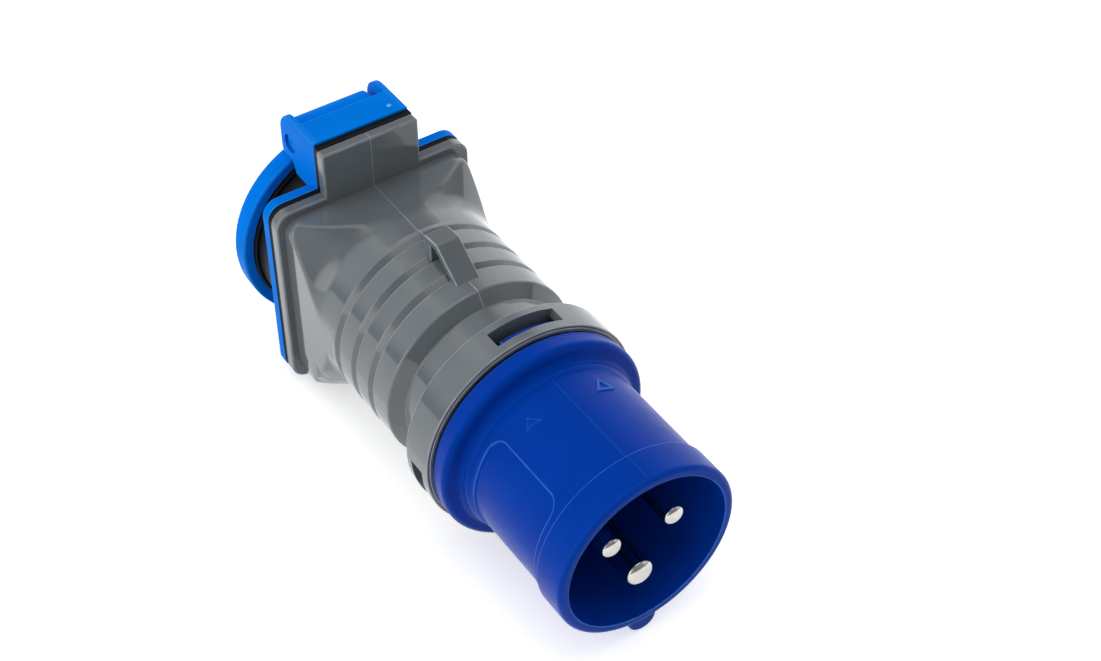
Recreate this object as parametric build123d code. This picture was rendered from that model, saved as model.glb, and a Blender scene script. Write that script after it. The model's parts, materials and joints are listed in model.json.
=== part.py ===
from build123d import *
import math
import os

# Pin and sleeve adapter plug, millimetres.
# The origin is the centre of the plug shroud's front rim.
# +Y runs from the plug pins to the socket lid, and +Z is the side of the lid hinge.
# Lengths along Y add up from the rim, so each station follows from the ones before it.

# Plug shroud and its round flange
WELL_RADIUS = 20.0
SHROUD_WALL = 1.7
BAND_LIFT = 0.65
BAND_LENGTH = 8.5
SHROUD_LENGTH = 34.8
HUB_LIFT = 0.6
HUB_LENGTH = 1.6
FLANGE_LIFT = 4.6
FLANGE_LENGTH = 6.0
SKIRT_WALL = 2.3
SKIRT_LENGTH = 5.4
KEY_WIDTH = 7.0
KEY_LIFT = 4.5
KEY_LENGTH = 30.0
LABEL_DEPTH = 0.4
LABEL_LENGTH = 22.5
LABEL_START = 10.6
LABEL_HALF_HEIGHT = 15.3

# Contact pins and their carrier
PIN_CIRCLE = 9.17
PIN_RADIUS = 2.5
EARTH_PIN_RADIUS = 3.5
PIN_RECESS = 1.2
PIN_STEP = 0.25
PIN_STEP_ROOM = 0.6
CARRIER_LEDGE = 1.5
CARRIER_WALL = 4.0
CARRIER_LENGTH = 12.0
TERMINAL_LENGTH = 7.2
RUNNING_FIT = 0.05

# Grey housing
COLLAR_PROUD = 0.65
COLLAR_GAP = 0.5
COLLAR_LENGTH = 8.6
COLLAR_WALL = 2.1
SEAL_SEAT = 1.35
SEAL_STEP = 0.55
WINDOW_CENTRES = (3.6, -109.5, 116.5)
WINDOW_HALF_ANGLE = 18.0
WINDOW_LENGTH = 4.3
WINDOW_OFFSET = 2.3
NECK_DROP = 5.1
NECK_LENGTH = 9.6
SHOULDER_LENGTH = 2.5
HOUSING_WALL = 2.2
GROOVE_COUNT = 3
GROOVE_PITCH = 7.4
GROOVE_DEPTH = 0.8
GROOVE_OFFSET = 7.3
SQUARE_LENGTH = 19.9
SQUARE_CORNER = 3.5
CORNER_RADIUS = 4.0
TAPER_ANGLE = 40.0
TOP_TAPER_OFFSET = 7.8
TOP_TAPER_BLEND = 8.0
BOTTOM_TAPER_OFFSET = 4.3
BOTTOM_TAPER_BLEND = 1.5

# Square end: flange, gasket, face plate
PLATE_LIP = 1.9
FLANGE_THICKNESS = 2.5
GASKET_THICKNESS = 1.7
PLATE_THICKNESS = 2.7
TOWER_HALF = 12.6
EDGE_ROUND = 0.5
SCREW_EDGE = 5.5
SCREW_RADIUS = 1.45
SCREW_HEAD_RADIUS = 2.7
SCREW_GRIP = 5.0

# Lid hinge
HINGE_HALF = 12.45
HINGE_REACH = 7.8
HINGE_LENGTH = 9.0
EAR_THICKNESS = 1.5
EAR_REACH = 4.35
EAR_DROP = 4.75
PIVOT_OFFSET = 12.2
PIVOT_LIFT = 3.8
BARREL_RADIUS = 5.4
HINGE_PIN_RADIUS = 2.0
PIN_INSET = 0.6
SPRING_WIRE = 0.35
SPRING_LEG = 5.0
SPRING_TURNS = 4.5
SPRING_PITCH = 0.85

# Lid and its seal
LID_WALL = 2.6
LID_SEAL_WIDTH = 0.8
LID_THICKNESS = 3.4
LID_DOME = 0.6
RIDGE_HALF = 8.0
RIDGE_HEIGHT = 2.2
RIDGE_WIDTH = 4.7

# Socket insert and its contacts
SOCKET_RADIUS = 19.7
SOCKET_WALL = 3.7
SOCKET_DEPTH = 17.5
FLOOR_THICKNESS = 3.0
REAR_CAP_THICKNESS = 2.4
SOCKET_STAND = 14.6
CONTACT_SPACING = 19.0
ENTRY_RADIUS = 2.65
CONTACT_BORE = 2.45
CONTACT_RADIUS = 3.2
CHAMBER_LENGTH = 12.0
POST_RADIUS = 2.9
POST_LENGTH = 8.5

# Wiring
WIRE_RADIUS = 1.5
CORE_RADIUS = 0.8
CORE_LENGTH = 4.0
TERMINAL_BORE = 1.1
SCREW_SHANK = 1.25
SCREW_HEAD = 2.0
SCREW_HEAD_HEIGHT = 1.5

# Radii and heights that follow from the well and the socket
TUBE_RADIUS = WELL_RADIUS + SHROUD_WALL
FLANGE_RADIUS = TUBE_RADIUS + FLANGE_LIFT
NECK_RADIUS = FLANGE_RADIUS - NECK_DROP
COLLAR_END_RADIUS = SOCKET_RADIUS + SOCKET_WALL
CHAMBER_RADIUS = SOCKET_RADIUS - 2.2
SQUARE_HALF = COLLAR_END_RADIUS + 0.4
BODY_RADIUS = SQUARE_HALF + 0.6
PLATE_HALF = SQUARE_HALF + PLATE_LIP
LID_RADIUS = COLLAR_END_RADIUS + LID_SEAL_WIDTH + LID_WALL
PIVOT_HEIGHT = LID_RADIUS + PIVOT_LIFT
HINGE_TOP = PIVOT_HEIGHT + HINGE_REACH
HINGE_BOTTOM = PIVOT_HEIGHT - HINGE_REACH
TOWER_TOP = HINGE_TOP - 0.8

# Stations along Y
HUB_END = SHROUD_LENGTH + HUB_LENGTH
WELL_DEPTH = HUB_END + 2.1
LEDGE = WELL_DEPTH + CARRIER_LEDGE
CARRIER_REAR = LEDGE + CARRIER_LENGTH
TERMINAL_REAR = CARRIER_REAR + TERMINAL_LENGTH
FLANGE_REAR = HUB_END + FLANGE_LENGTH + 0.8
SKIRT_REAR = FLANGE_REAR + SKIRT_LENGTH
COLLAR_RADIUS = FLANGE_RADIUS + COLLAR_PROUD
COLLAR_BORE = COLLAR_RADIUS - COLLAR_WALL
SKIRT_RADIUS = COLLAR_BORE - 0.5
COLLAR_FRONT = FLANGE_REAR + COLLAR_GAP
COLLAR_REAR = COLLAR_FRONT + COLLAR_LENGTH
NECK_END = COLLAR_REAR + NECK_LENGTH
LAND_START = NECK_END + SHOULDER_LENGTH
FIRST_GROOVE = LAND_START + GROOVE_OFFSET
SQUARE_START = FIRST_GROOVE + (GROOVE_COUNT - 1) * GROOVE_PITCH + 2.4
FLANGE_FRONT = SQUARE_START + SQUARE_LENGTH
GASKET_FRONT = FLANGE_FRONT + FLANGE_THICKNESS
PLATE_FRONT = GASKET_FRONT + GASKET_THICKNESS
PLATE_REAR = PLATE_FRONT + PLATE_THICKNESS
PIVOT_Y = PLATE_FRONT + PIVOT_OFFSET
SOCKET_END = PLATE_FRONT + SOCKET_STAND
SOCKET_FLOOR = SOCKET_END - SOCKET_DEPTH
FLOOR_REAR = SOCKET_FLOOR - FLOOR_THICKNESS
CHAMBER_REAR = FLOOR_REAR - CHAMBER_LENGTH
POST_REAR = CHAMBER_REAR - POST_LENGTH
WINDOW_FRONT = COLLAR_FRONT + WINDOW_OFFSET
LID_FRONT = SOCKET_END - 0.7
LID_INNER = SOCKET_END + 1.8
LID_REAR = LID_INNER + LID_THICKNESS
SLOT_HALF = HINGE_HALF - EAR_THICKNESS
BARREL_LEFT = -SLOT_HALF + 0.15
BARREL_RIGHT = SLOT_HALF - 1.8
COIL_RADIUS = HINGE_PIN_RADIUS + 0.2 + SPRING_WIRE
COIL_RIGHT = SLOT_HALF - 1.0
COIL_LEFT = COIL_RIGHT - SPRING_TURNS * SPRING_PITCH

# Cuts run this far past the faces they open
PAST = 1.0


def outline(points):
    """Closed face from (a, b) points, where a third number rounds the corner."""
    corners = []
    count = len(points)
    for index, point in enumerate(points):
        corner = Vector(point[0], point[1])
        if len(point) == 2:
            corners.append((corner, None, corner))
            continue
        before = (Vector(*points[index - 1][:2]) - corner).normalized()
        after = (Vector(*points[(index + 1) % count][:2]) - corner).normalized()
        half = math.radians(before.get_angle(after)) / 2
        reach = point[2] / math.tan(half)
        inward = (before + after).normalized()
        middle = corner + inward * (point[2] / math.sin(half) - point[2])
        corners.append((corner + before * reach, middle, corner + after * reach))
    edges = []
    for index, (start, middle, end) in enumerate(corners):
        if middle is not None:
            edges.append(ThreePointArc(start, middle, end))
        following = corners[(index + 1) % count][0]
        if (following - end).length > 1e-6:
            edges.append(Line(end, following))
    return make_face(edges)


def turned(points):
    """Solid of revolution about the main axis from (radius, station) points."""
    return revolve(outline(points), Axis.Y)


def rod(radius, start, end, x=0.0, z=0.0):
    """Round bar along Y."""
    return Pos(x, (start + end) / 2, z) * Rot(90, 0, 0) * Cylinder(radius, end - start)


def cross_rod(radius, left, right, y, z):
    """Round bar along X."""
    return Pos((left + right) / 2, y, z) * Rot(0, 90, 0) * Cylinder(radius, right - left)


def block(x0, x1, y0, y1, z0, z1):
    """Box between two corners."""
    return Pos((x0 + x1) / 2, (y0 + y1) / 2, (z0 + z1) / 2) * Box(x1 - x0, y1 - y0, z1 - z0)


def facing(y):
    """Plane across the main axis, with X to the right and Z up."""
    return Plane(origin=(0, y, 0), x_dir=(1, 0, 0), z_dir=(0, -1, 0))


def slab(face, start, end):
    """Face of (x, z) points thickened from one station to another."""
    return extrude(facing(end) * face, amount=end - start)


def side_profile(points, half_width):
    """Face of (y, z) points thickened both ways along X."""
    return extrude(Plane.YZ * outline(points), amount=half_width, both=True)


def rounded_square(half, corner):
    """Rounded square about the main axis."""
    return RectangleRounded(2 * half, 2 * half, corner)


def square_with_tower(half, corner, tower_half, tower_top):
    """Outline of the square end with the tower that backs the hinge."""
    tower_foot = half - 2 * corner
    tower = Pos(0, (tower_top + tower_foot) / 2) * Rectangle(2 * tower_half, tower_top - tower_foot)
    return rounded_square(half, corner) + tower


def taper(offset, blend, inset):
    """Cone that grows out of the round body and trims two corners of the square end."""
    start = SQUARE_START + offset + inset * math.tan(math.radians(TAPER_ANGLE / 2))
    radius = BODY_RADIUS - inset
    run = SQUARE_HALF
    rise = run * math.tan(math.radians(TAPER_ANGLE))
    return turned([
        (0.0, SQUARE_START),
        (radius, SQUARE_START),
        (radius, start, blend),
        (radius + rise, start + run),
        (0.0, start + run),
    ])


# Plug front

def label_recess():
    """Shallow rounded field on the left flank of the shroud."""
    middle = LABEL_START + LABEL_LENGTH / 2
    field = Pos(middle, 0) * RectangleRounded(LABEL_LENGTH, 2 * LABEL_HALF_HEIGHT, 3.0)
    prism = extrude(Plane.YZ * field, amount=-2 * TUBE_RADIUS)
    return prism - rod(TUBE_RADIUS - LABEL_DEPTH, 0, SHROUD_LENGTH)


def latch_ramps():
    """Raised catches of the skirt, one in each window of the collar."""
    lift = COLLAR_WALL * 0.3
    profile = outline([
        (SKIRT_RADIUS - 1.0, WINDOW_FRONT + 0.5),
        (SKIRT_RADIUS, WINDOW_FRONT + 0.5),
        (SKIRT_RADIUS + lift, WINDOW_FRONT + 1.1, 0.3),
        (SKIRT_RADIUS + lift, WINDOW_FRONT + 2.6, 0.3),
        (SKIRT_RADIUS - 1.0, WINDOW_FRONT + 2.9),
    ])
    span = 2 * (WINDOW_HALF_ANGLE - 3.0)
    ramp = Rot(0, -span / 2, 0) * revolve(profile, Axis.Y, revolution_arc=span)
    return [Rot(0, centre - 90, 0) * ramp for centre in WINDOW_CENTRES]


def plug_sleeve():
    """Blue shroud, round flange and skirt, moulded in one."""
    band = TUBE_RADIUS + BAND_LIFT
    hub = TUBE_RADIUS + HUB_LIFT
    flange_front = HUB_END + 1.2
    body = turned([
        (WELL_RADIUS, 0.0, 0.25),
        (band, 0.0, 1.2),
        (band, BAND_LENGTH, 0.25),
        (TUBE_RADIUS, BAND_LENGTH),
        (TUBE_RADIUS, SHROUD_LENGTH),
        (hub, SHROUD_LENGTH + 0.3, 0.3),
        (hub, flange_front, 1.4),
        (FLANGE_RADIUS, flange_front + 0.5, 1.5),
        (FLANGE_RADIUS - 0.4, FLANGE_REAR, 1.0),
        (SKIRT_RADIUS, FLANGE_REAR),
        (SKIRT_RADIUS, SKIRT_REAR, 0.5),
        (SKIRT_RADIUS - SKIRT_WALL, SKIRT_REAR),
        (SKIRT_RADIUS - SKIRT_WALL, LEDGE + CARRIER_WALL),
        (WELL_RADIUS, LEDGE + CARRIER_WALL),
        (WELL_RADIUS, LEDGE),
        (WELL_RADIUS - 2.4, LEDGE),
        (WELL_RADIUS - 2.4, WELL_DEPTH, 0.4),
        (WELL_RADIUS, WELL_DEPTH),
    ])
    key = block(-KEY_WIDTH / 2, KEY_WIDTH / 2, 0.8, KEY_LENGTH,
                -TUBE_RADIUS - KEY_LIFT, -TUBE_RADIUS + 0.9)
    key = fillet(key.edges().filter_by(Axis.Y).group_by(Axis.Z)[0], KEY_WIDTH / 2 - 0.1)
    body = body + key - label_recess()
    for ramp in latch_ramps():
        body += ramp
    return body


def pin_places():
    """Name, radius, x and z of each contact pin."""
    side = PIN_CIRCLE * math.sin(math.radians(60))
    up = PIN_CIRCLE * math.cos(math.radians(60))
    return {
        "line_pin": (PIN_RADIUS, side, up),
        "neutral_pin": (PIN_RADIUS, -side, up),
        "earth_pin": (EARTH_PIN_RADIUS, 0.0, -PIN_CIRCLE),
    }


def contact_pin(radius, x, z):
    """Pin with a domed tip, a step down before the carrier and a wire bore in its rear end."""
    shank = radius - PIN_STEP
    step = WELL_DEPTH - PIN_STEP_ROOM
    profile = outline([
        (0.0, PIN_RECESS),
        (radius, PIN_RECESS, radius * 0.5),
        (radius, step),
        (shank, step),
        (shank, TERMINAL_REAR),
        (0.0, TERMINAL_REAR),
    ])
    pin = Pos(x, 0, z) * revolve(profile, Axis.Y)
    bore = rod(TERMINAL_BORE, TERMINAL_REAR - TERMINAL_LENGTH, TERMINAL_REAR + PAST, x, z)
    return pin - bore - pin_screw(shank, x, z, SCREW_SHANK + RUNNING_FIT)


def pin_screw(radius, x, z, shank=SCREW_SHANK):
    """Clamp screw that enters a pin from outside the pin circle."""
    station = TERMINAL_REAR - TERMINAL_LENGTH / 2
    reach = radius - CORE_RADIUS
    turn = math.degrees(math.atan2(x, z))
    stem = Pos(0, station, PIN_CIRCLE + radius - reach / 2) * Cylinder(shank, reach)
    if shank != SCREW_SHANK:
        return Rot(0, turn, 0) * stem
    head_place = Pos(0, station, PIN_CIRCLE + radius + SCREW_HEAD_HEIGHT / 2)
    head = head_place * Cylinder(SCREW_HEAD, SCREW_HEAD_HEIGHT)
    slot = head_place * Pos(0, 0, 0.5) * Box(0.6, 2 * SCREW_HEAD, SCREW_HEAD_HEIGHT - 0.6)
    return Rot(0, turn, 0) * (stem + head - slot)


def pin_carrier():
    """Insulating block that holds the three pins behind the well."""
    body_radius = WELL_RADIUS - 3.0
    carrier = turned([
        (0.0, WELL_DEPTH),
        (WELL_RADIUS - 2.5, WELL_DEPTH),
        (WELL_RADIUS - 2.5, LEDGE),
        (WELL_RADIUS - 0.1, LEDGE),
        (WELL_RADIUS - 0.1, LEDGE + CARRIER_WALL),
        (body_radius, LEDGE + CARRIER_WALL),
        (body_radius, CARRIER_REAR, 0.8),
        (0.0, CARRIER_REAR),
    ])
    for radius, x, z in pin_places().values():
        shank = radius - PIN_STEP
        carrier -= rod(shank + RUNNING_FIT, WELL_DEPTH - PAST, CARRIER_REAR + PAST, x, z)
    return carrier


def front_seal():
    """Rubber ring between the skirt and the collar's mouth."""
    front = FLANGE_REAR + RUNNING_FIT
    rear = COLLAR_FRONT + SEAL_SEAT - RUNNING_FIT
    return turned([
        (SKIRT_RADIUS + RUNNING_FIT, front),
        (COLLAR_BORE + SEAL_STEP - RUNNING_FIT, front),
        (COLLAR_BORE + SEAL_STEP - RUNNING_FIT, rear),
        (SKIRT_RADIUS + RUNNING_FIT, rear),
    ])


# Housing

def housing_outer():
    """Outside of the turned part of the housing, with its three grooves."""
    points = [
        (0.0, COLLAR_FRONT),
        (COLLAR_RADIUS, COLLAR_FRONT, 0.6),
        (COLLAR_RADIUS, COLLAR_REAR, 0.3),
        (NECK_RADIUS, COLLAR_REAR, 1.0),
        (NECK_RADIUS, NECK_END, 0.6),
        (BODY_RADIUS, LAND_START, 0.8),
    ]
    floor = BODY_RADIUS - GROOVE_DEPTH
    for index in range(GROOVE_COUNT):
        groove = FIRST_GROOVE + index * GROOVE_PITCH
        points += [
            (BODY_RADIUS, groove - 1.0, 0.25),
            (floor, groove - 0.7),
            (floor, groove - 0.2),
            (BODY_RADIUS, groove + 1.3, 0.8),
        ]
    points += [(BODY_RADIUS, SQUARE_START), (0.0, SQUARE_START)]
    return turned(points)


def housing_inner():
    """Hollow of the turned part of the housing."""
    neck = NECK_RADIUS - HOUSING_WALL
    body = BODY_RADIUS - HOUSING_WALL
    rear_wall = COLLAR_REAR - HOUSING_WALL
    return turned([
        (0.0, COLLAR_FRONT - PAST),
        (COLLAR_BORE + SEAL_STEP, COLLAR_FRONT - PAST),
        (COLLAR_BORE + SEAL_STEP, COLLAR_FRONT + SEAL_SEAT),
        (COLLAR_BORE, COLLAR_FRONT + SEAL_SEAT),
        (COLLAR_BORE, rear_wall),
        (neck, rear_wall),
        (neck, NECK_END + 0.8),
        (body, LAND_START + 0.8),
        (body, SQUARE_START),
        (0.0, SQUARE_START),
    ])


def square_end(inset):
    """Round to square part of the housing, inset by a wall where it is the hollow."""
    half = SQUARE_HALF - inset
    corner = SQUARE_CORNER - inset / 2
    square = slab(rounded_square(half, corner), SQUARE_START, GASKET_FRONT)
    reach = 2 * SQUARE_HALF
    upper = taper(TOP_TAPER_OFFSET, TOP_TAPER_BLEND, inset)
    upper &= block(-reach, reach, SQUARE_START, GASKET_FRONT, 0, reach)
    lower = taper(BOTTOM_TAPER_OFFSET, BOTTOM_TAPER_BLEND, inset)
    lower &= block(-reach, reach, SQUARE_START, GASKET_FRONT, -reach, 0)
    return square & (upper + lower)


def strap():
    """Lanyard loop that bridges the grooves on top of the housing."""
    foot = BODY_RADIUS - GROOVE_DEPTH - 0.4
    front = FIRST_GROOVE - 3.5
    bend = FIRST_GROOVE + 4.7
    rear = bend + 5.2
    top = BODY_RADIUS + 5.9
    underside = top - 1.8
    return side_profile([
        (front, foot),
        (front, BODY_RADIUS - 0.1),
        (bend, top, 1.0),
        (rear, top - 0.5, 0.5),
        (rear, foot),
        (rear - 2.6, foot),
        (rear - 2.6, underside, 0.3),
        (bend + 0.6, underside, 0.6),
        (front + 2.0, BODY_RADIUS - 0.9),
        (front + 1.9, foot),
    ], 3.0)


def window_cut(centre):
    """One window of the collar, between two radial planes."""
    profile = outline([
        (COLLAR_BORE - 0.2, WINDOW_FRONT),
        (COLLAR_RADIUS + PAST, WINDOW_FRONT),
        (COLLAR_RADIUS + PAST, WINDOW_FRONT + WINDOW_LENGTH),
        (COLLAR_BORE - 0.2, WINDOW_FRONT + WINDOW_LENGTH),
    ])
    span = 2 * WINDOW_HALF_ANGLE
    wedge = Rot(0, -WINDOW_HALF_ANGLE, 0) * revolve(profile, Axis.Y, revolution_arc=span)
    return Rot(0, centre - 90, 0) * wedge


def screw_places():
    """x and z of the four face plate screws."""
    reach = PLATE_HALF - SCREW_EDGE
    return [(x, z) for x in (-reach, reach) for z in (-reach, reach)]


def housing():
    """Grey body from the bayonet collar to the square flange and its tower."""
    plate = slab(square_with_tower(PLATE_HALF, CORNER_RADIUS, TOWER_HALF, TOWER_TOP),
                 FLANGE_FRONT, GASKET_FRONT)
    front_edges = plate.edges().group_by(Axis.Y)[0]
    plate = fillet(front_edges, EDGE_ROUND)
    outside = housing_outer() + square_end(0)
    hollow = housing_inner() + square_end(HOUSING_WALL)
    body = outside + plate + strap() - hollow
    for x, z in screw_places():
        boss = rod(SCREW_HEAD_RADIUS, GASKET_FRONT - SCREW_GRIP - 1.0, GASKET_FRONT, x, z)
        body += boss & outside
        body -= rod(SCREW_RADIUS - 0.15, GASKET_FRONT - SCREW_GRIP - 0.2, GASKET_FRONT + PAST, x, z)
    for centre in WINDOW_CENTRES:
        body -= window_cut(centre)
    return body


# Face plate with the lid hinge

def plate_gasket():
    """Rubber sheet between the housing and the face plate."""
    inset = 0.25
    face = square_with_tower(PLATE_HALF - inset, CORNER_RADIUS, TOWER_HALF - inset, TOWER_TOP + 0.2)
    sheet = slab(face, GASKET_FRONT, PLATE_FRONT)
    sheet -= rod(COLLAR_END_RADIUS + 0.65, GASKET_FRONT - PAST, PLATE_FRONT + PAST)
    for x, z in screw_places():
        sheet -= rod(SCREW_RADIUS + RUNNING_FIT, GASKET_FRONT - PAST, PLATE_FRONT + PAST, x, z)
    return sheet


def pin_bore(extra):
    """Bore of the hinge pin through ears and barrel."""
    reach = HINGE_HALF + PAST
    return cross_rod(HINGE_PIN_RADIUS + extra, -reach, reach, PIVOT_Y, PIVOT_HEIGHT)


def hinge_block():
    """Hollow block with two ears that carry the hinge pin."""
    rear = PLATE_FRONT + HINGE_LENGTH
    whole = side_profile([
        (PLATE_FRONT, HINGE_BOTTOM),
        (rear + 1.5, HINGE_BOTTOM, 0.4),
        (rear + 2.6, PIVOT_HEIGHT - EAR_DROP, 1.0),
        (PIVOT_Y + EAR_REACH, PIVOT_HEIGHT - EAR_DROP, 2.0),
        (PIVOT_Y + EAR_REACH, HINGE_TOP, 4.2),
        (PLATE_FRONT, HINGE_TOP),
    ], HINGE_HALF)
    ends = whole.edges().group_by(Axis.X)
    whole = fillet(ends[0] + ends[-1], EDGE_ROUND)
    slot = block(-SLOT_HALF, SLOT_HALF, rear, rear + 2 * HINGE_LENGTH, HINGE_BOTTOM - PAST,
                 HINGE_TOP + PAST)
    whole -= slot
    whole -= cross_rod(BARREL_RADIUS + 0.4, -SLOT_HALF, SLOT_HALF, PIVOT_Y, PIVOT_HEIGHT)
    whole -= pin_bore(RUNNING_FIT)
    leg_height = PIVOT_HEIGHT + COIL_RADIUS
    leg_room = SPRING_WIRE + 0.25
    whole -= rod(leg_room, PIVOT_Y - SPRING_LEG - 0.6, PIVOT_Y, COIL_RIGHT + 0.25, leg_height)
    for side in (-1, 1):
        outer = side * HINGE_HALF
        whole -= cross_rod(HINGE_PIN_RADIUS + 0.35, outer - PIN_INSET, outer + PIN_INSET, PIVOT_Y,
                           PIVOT_HEIGHT)
    pocket = block(-HINGE_HALF + 2.0, HINGE_HALF - 2.0, PLATE_FRONT - PAST,
                   PIVOT_Y - BARREL_RADIUS - 2.2, PLATE_HALF + 1.8, HINGE_TOP - 2.0)
    return whole - pocket


def face_plate():
    """Blue square plate, moulded with the hinge block and a raised rim round the socket."""
    plate = slab(rounded_square(PLATE_HALF, CORNER_RADIUS), PLATE_FRONT, PLATE_REAR)
    plate = fillet(plate.edges().group_by(Axis.Y)[-1], EDGE_ROUND)
    plate += hinge_block()
    plate -= rod(COLLAR_END_RADIUS + RUNNING_FIT, PLATE_FRONT - PAST, SOCKET_END + PAST)
    for x, z in screw_places():
        plate -= rod(SCREW_RADIUS + RUNNING_FIT, PLATE_FRONT - PAST, PLATE_REAR + PAST, x, z)
        plate -= countersink(x, z, RUNNING_FIT)
    return plate


def countersink(x, z, extra=0.0):
    """Cone of a screw head, flush with the rear of the face plate."""
    depth = SCREW_HEAD_RADIUS - SCREW_RADIUS
    profile = outline([
        (0.0, PLATE_REAR - depth),
        (SCREW_RADIUS + extra, PLATE_REAR - depth),
        (SCREW_HEAD_RADIUS + extra, PLATE_REAR),
        (0.0, PLATE_REAR),
    ])
    return Pos(x, 0, z) * revolve(profile, Axis.Y)


def plate_screws():
    """Four countersunk screws with crossed slots."""
    screws = []
    arm = 0.6 * SCREW_HEAD_RADIUS
    bottom = PLATE_REAR - 0.9
    for x, z in screw_places():
        shank = rod(SCREW_RADIUS, GASKET_FRONT, PLATE_REAR - 0.2, x, z)
        tip = rod(SCREW_RADIUS - 0.2, GASKET_FRONT - SCREW_GRIP, GASKET_FRONT, x, z)
        cross = block(x - arm, x + arm, bottom, PLATE_REAR + PAST, z - 0.3, z + 0.3)
        cross += block(x - 0.3, x + 0.3, bottom, PLATE_REAR + PAST, z - arm, z + arm)
        screws.append(countersink(x, z) + shank + tip - cross)
    return Compound(children=[screw.solid() for screw in screws])


# Lid

def lid_arm():
    """Arm and hinge barrel on top of the lid."""
    half = (BARREL_RIGHT - BARREL_LEFT) / 2
    middle = (BARREL_RIGHT + BARREL_LEFT) / 2
    arm = Pos(middle, 0, 0) * side_profile([
        (PIVOT_Y - 1.5, PIVOT_HEIGHT - BARREL_RADIUS + 1.0),
        (LID_FRONT + 0.4, LID_RADIUS - LID_WALL),
        (LID_REAR - 0.9, LID_RADIUS - LID_WALL),
        (LID_REAR - 1.6, LID_RADIUS + 2.2, 2.0),
        (PIVOT_Y + 2.6, PIVOT_HEIGHT + 3.2),
    ], half)
    return arm + cross_rod(BARREL_RADIUS, BARREL_LEFT, BARREL_RIGHT, PIVOT_Y, PIVOT_HEIGHT)


def spring_room():
    """Bore in the right end of the barrel that takes the coil and its inner leg."""
    bore_radius = COIL_RADIUS + SPRING_WIRE + 0.3
    bore = cross_rod(bore_radius, COIL_LEFT - 0.8, SLOT_HALF, PIVOT_Y, PIVOT_HEIGHT)
    leg_height = PIVOT_HEIGHT - COIL_RADIUS
    leg = block(COIL_LEFT - 0.8, SLOT_HALF, PIVOT_Y - 3.3, PIVOT_Y,
                leg_height - SPRING_WIRE - 0.15, leg_height + SPRING_WIRE + 0.15)
    return bore + leg


def lid():
    """Round sprung cover of the socket with its hinge barrel and a thumb ridge."""
    inner = LID_RADIUS - LID_WALL
    cap = turned([
        (inner, LID_FRONT),
        (LID_RADIUS, LID_FRONT, 0.6),
        (LID_RADIUS, LID_REAR, 2.2),
        (0.0, LID_REAR + LID_DOME),
        (0.0, LID_INNER),
        (inner, LID_INNER),
    ])
    foot = -LID_RADIUS + 1.8
    ridge = side_profile([
        (LID_REAR - 0.5, foot),
        (LID_REAR + RIDGE_HEIGHT, foot + 0.6, 0.6),
        (LID_REAR + RIDGE_HEIGHT, foot + RIDGE_HEIGHT, 0.6),
        (LID_REAR - 0.5, foot + RIDGE_WIDTH),
    ], RIDGE_HALF)
    whole = cap + ridge + lid_arm()
    return whole - pin_bore(2 * RUNNING_FIT) - spring_room()


def lid_seal():
    """Rubber ring held in the lid, with a lip round the socket's rim."""
    lip = COLLAR_END_RADIUS + 0.15
    outer = LID_RADIUS - LID_WALL - 0.02
    inner = SOCKET_RADIUS + 0.7
    front = LID_FRONT - 1.1
    return turned([
        (inner, SOCKET_END),
        (lip, SOCKET_END),
        (lip, front),
        (outer, front),
        (outer, LID_INNER),
        (inner, LID_INNER),
    ])


def hinge_pin():
    """Plastic pin through both ears and the barrel."""
    end = HINGE_HALF - PIN_INSET - RUNNING_FIT
    pin = cross_rod(HINGE_PIN_RADIUS, -end, end, PIVOT_Y, PIVOT_HEIGHT)
    return fillet(pin.edges().group_by(Axis.X)[0] + pin.edges().group_by(Axis.X)[-1], 0.3)


def lid_spring():
    """Torsion spring round the hinge pin, one leg in the lid and one in the hinge block."""
    path = Helix(SPRING_PITCH, SPRING_PITCH * SPRING_TURNS, COIL_RADIUS)
    coil = sweep(Plane(origin=path @ 0, z_dir=path % 0) * Circle(SPRING_WIRE), path)
    along = (Align.CENTER, Align.CENTER, Align.MIN)
    lid_leg = Plane(origin=path @ 0, z_dir=-(path % 0)) * Cylinder(SPRING_WIRE, 2.9, align=along)
    block_leg = Plane(origin=path @ 1, z_dir=path % 1) * Cylinder(SPRING_WIRE, SPRING_LEG, align=along)
    return Pos(COIL_LEFT, PIVOT_Y, PIVOT_HEIGHT) * Rot(0, 90, 0) * (coil + lid_leg + block_leg)


# Socket

def socket_insert():
    """Round earthed socket: well, floor with two entries, and contact chambers."""
    lower_wall = SQUARE_HALF - HOUSING_WALL - 0.4
    body = turned([
        (0.0, CHAMBER_REAR),
        (CHAMBER_RADIUS, CHAMBER_REAR, 0.6),
        (CHAMBER_RADIUS, FLOOR_REAR),
        (lower_wall, FLOOR_REAR),
        (lower_wall, GASKET_FRONT),
        (COLLAR_END_RADIUS + 0.6, GASKET_FRONT),
        (COLLAR_END_RADIUS + 0.6, PLATE_FRONT),
        (COLLAR_END_RADIUS, PLATE_FRONT),
        (COLLAR_END_RADIUS, SOCKET_END, 0.4),
        (SOCKET_RADIUS, SOCKET_END, 0.4),
        (SOCKET_RADIUS, SOCKET_FLOOR),
        (0.0, SOCKET_FLOOR),
    ])
    for side in (-1, 1):
        x = side * CONTACT_SPACING / 2
        body -= rod(ENTRY_RADIUS, FLOOR_REAR - PAST, SOCKET_FLOOR + PAST, x)
        body -= rod(CONTACT_RADIUS + 0.15, CHAMBER_REAR - PAST, FLOOR_REAR, x)
        wall = side * SOCKET_RADIUS
        body += block(min(wall, wall - side * 1.4), max(wall, wall - side * 1.4),
                      SOCKET_FLOOR, SOCKET_END - 0.6, -2.5, 2.5)
        height = side * (SOCKET_RADIUS - 0.8)
        body -= block(-2.6, 2.6, CHAMBER_REAR - PAST, SOCKET_FLOOR + PAST, height - 0.6, height + 0.6)
    return body


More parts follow.
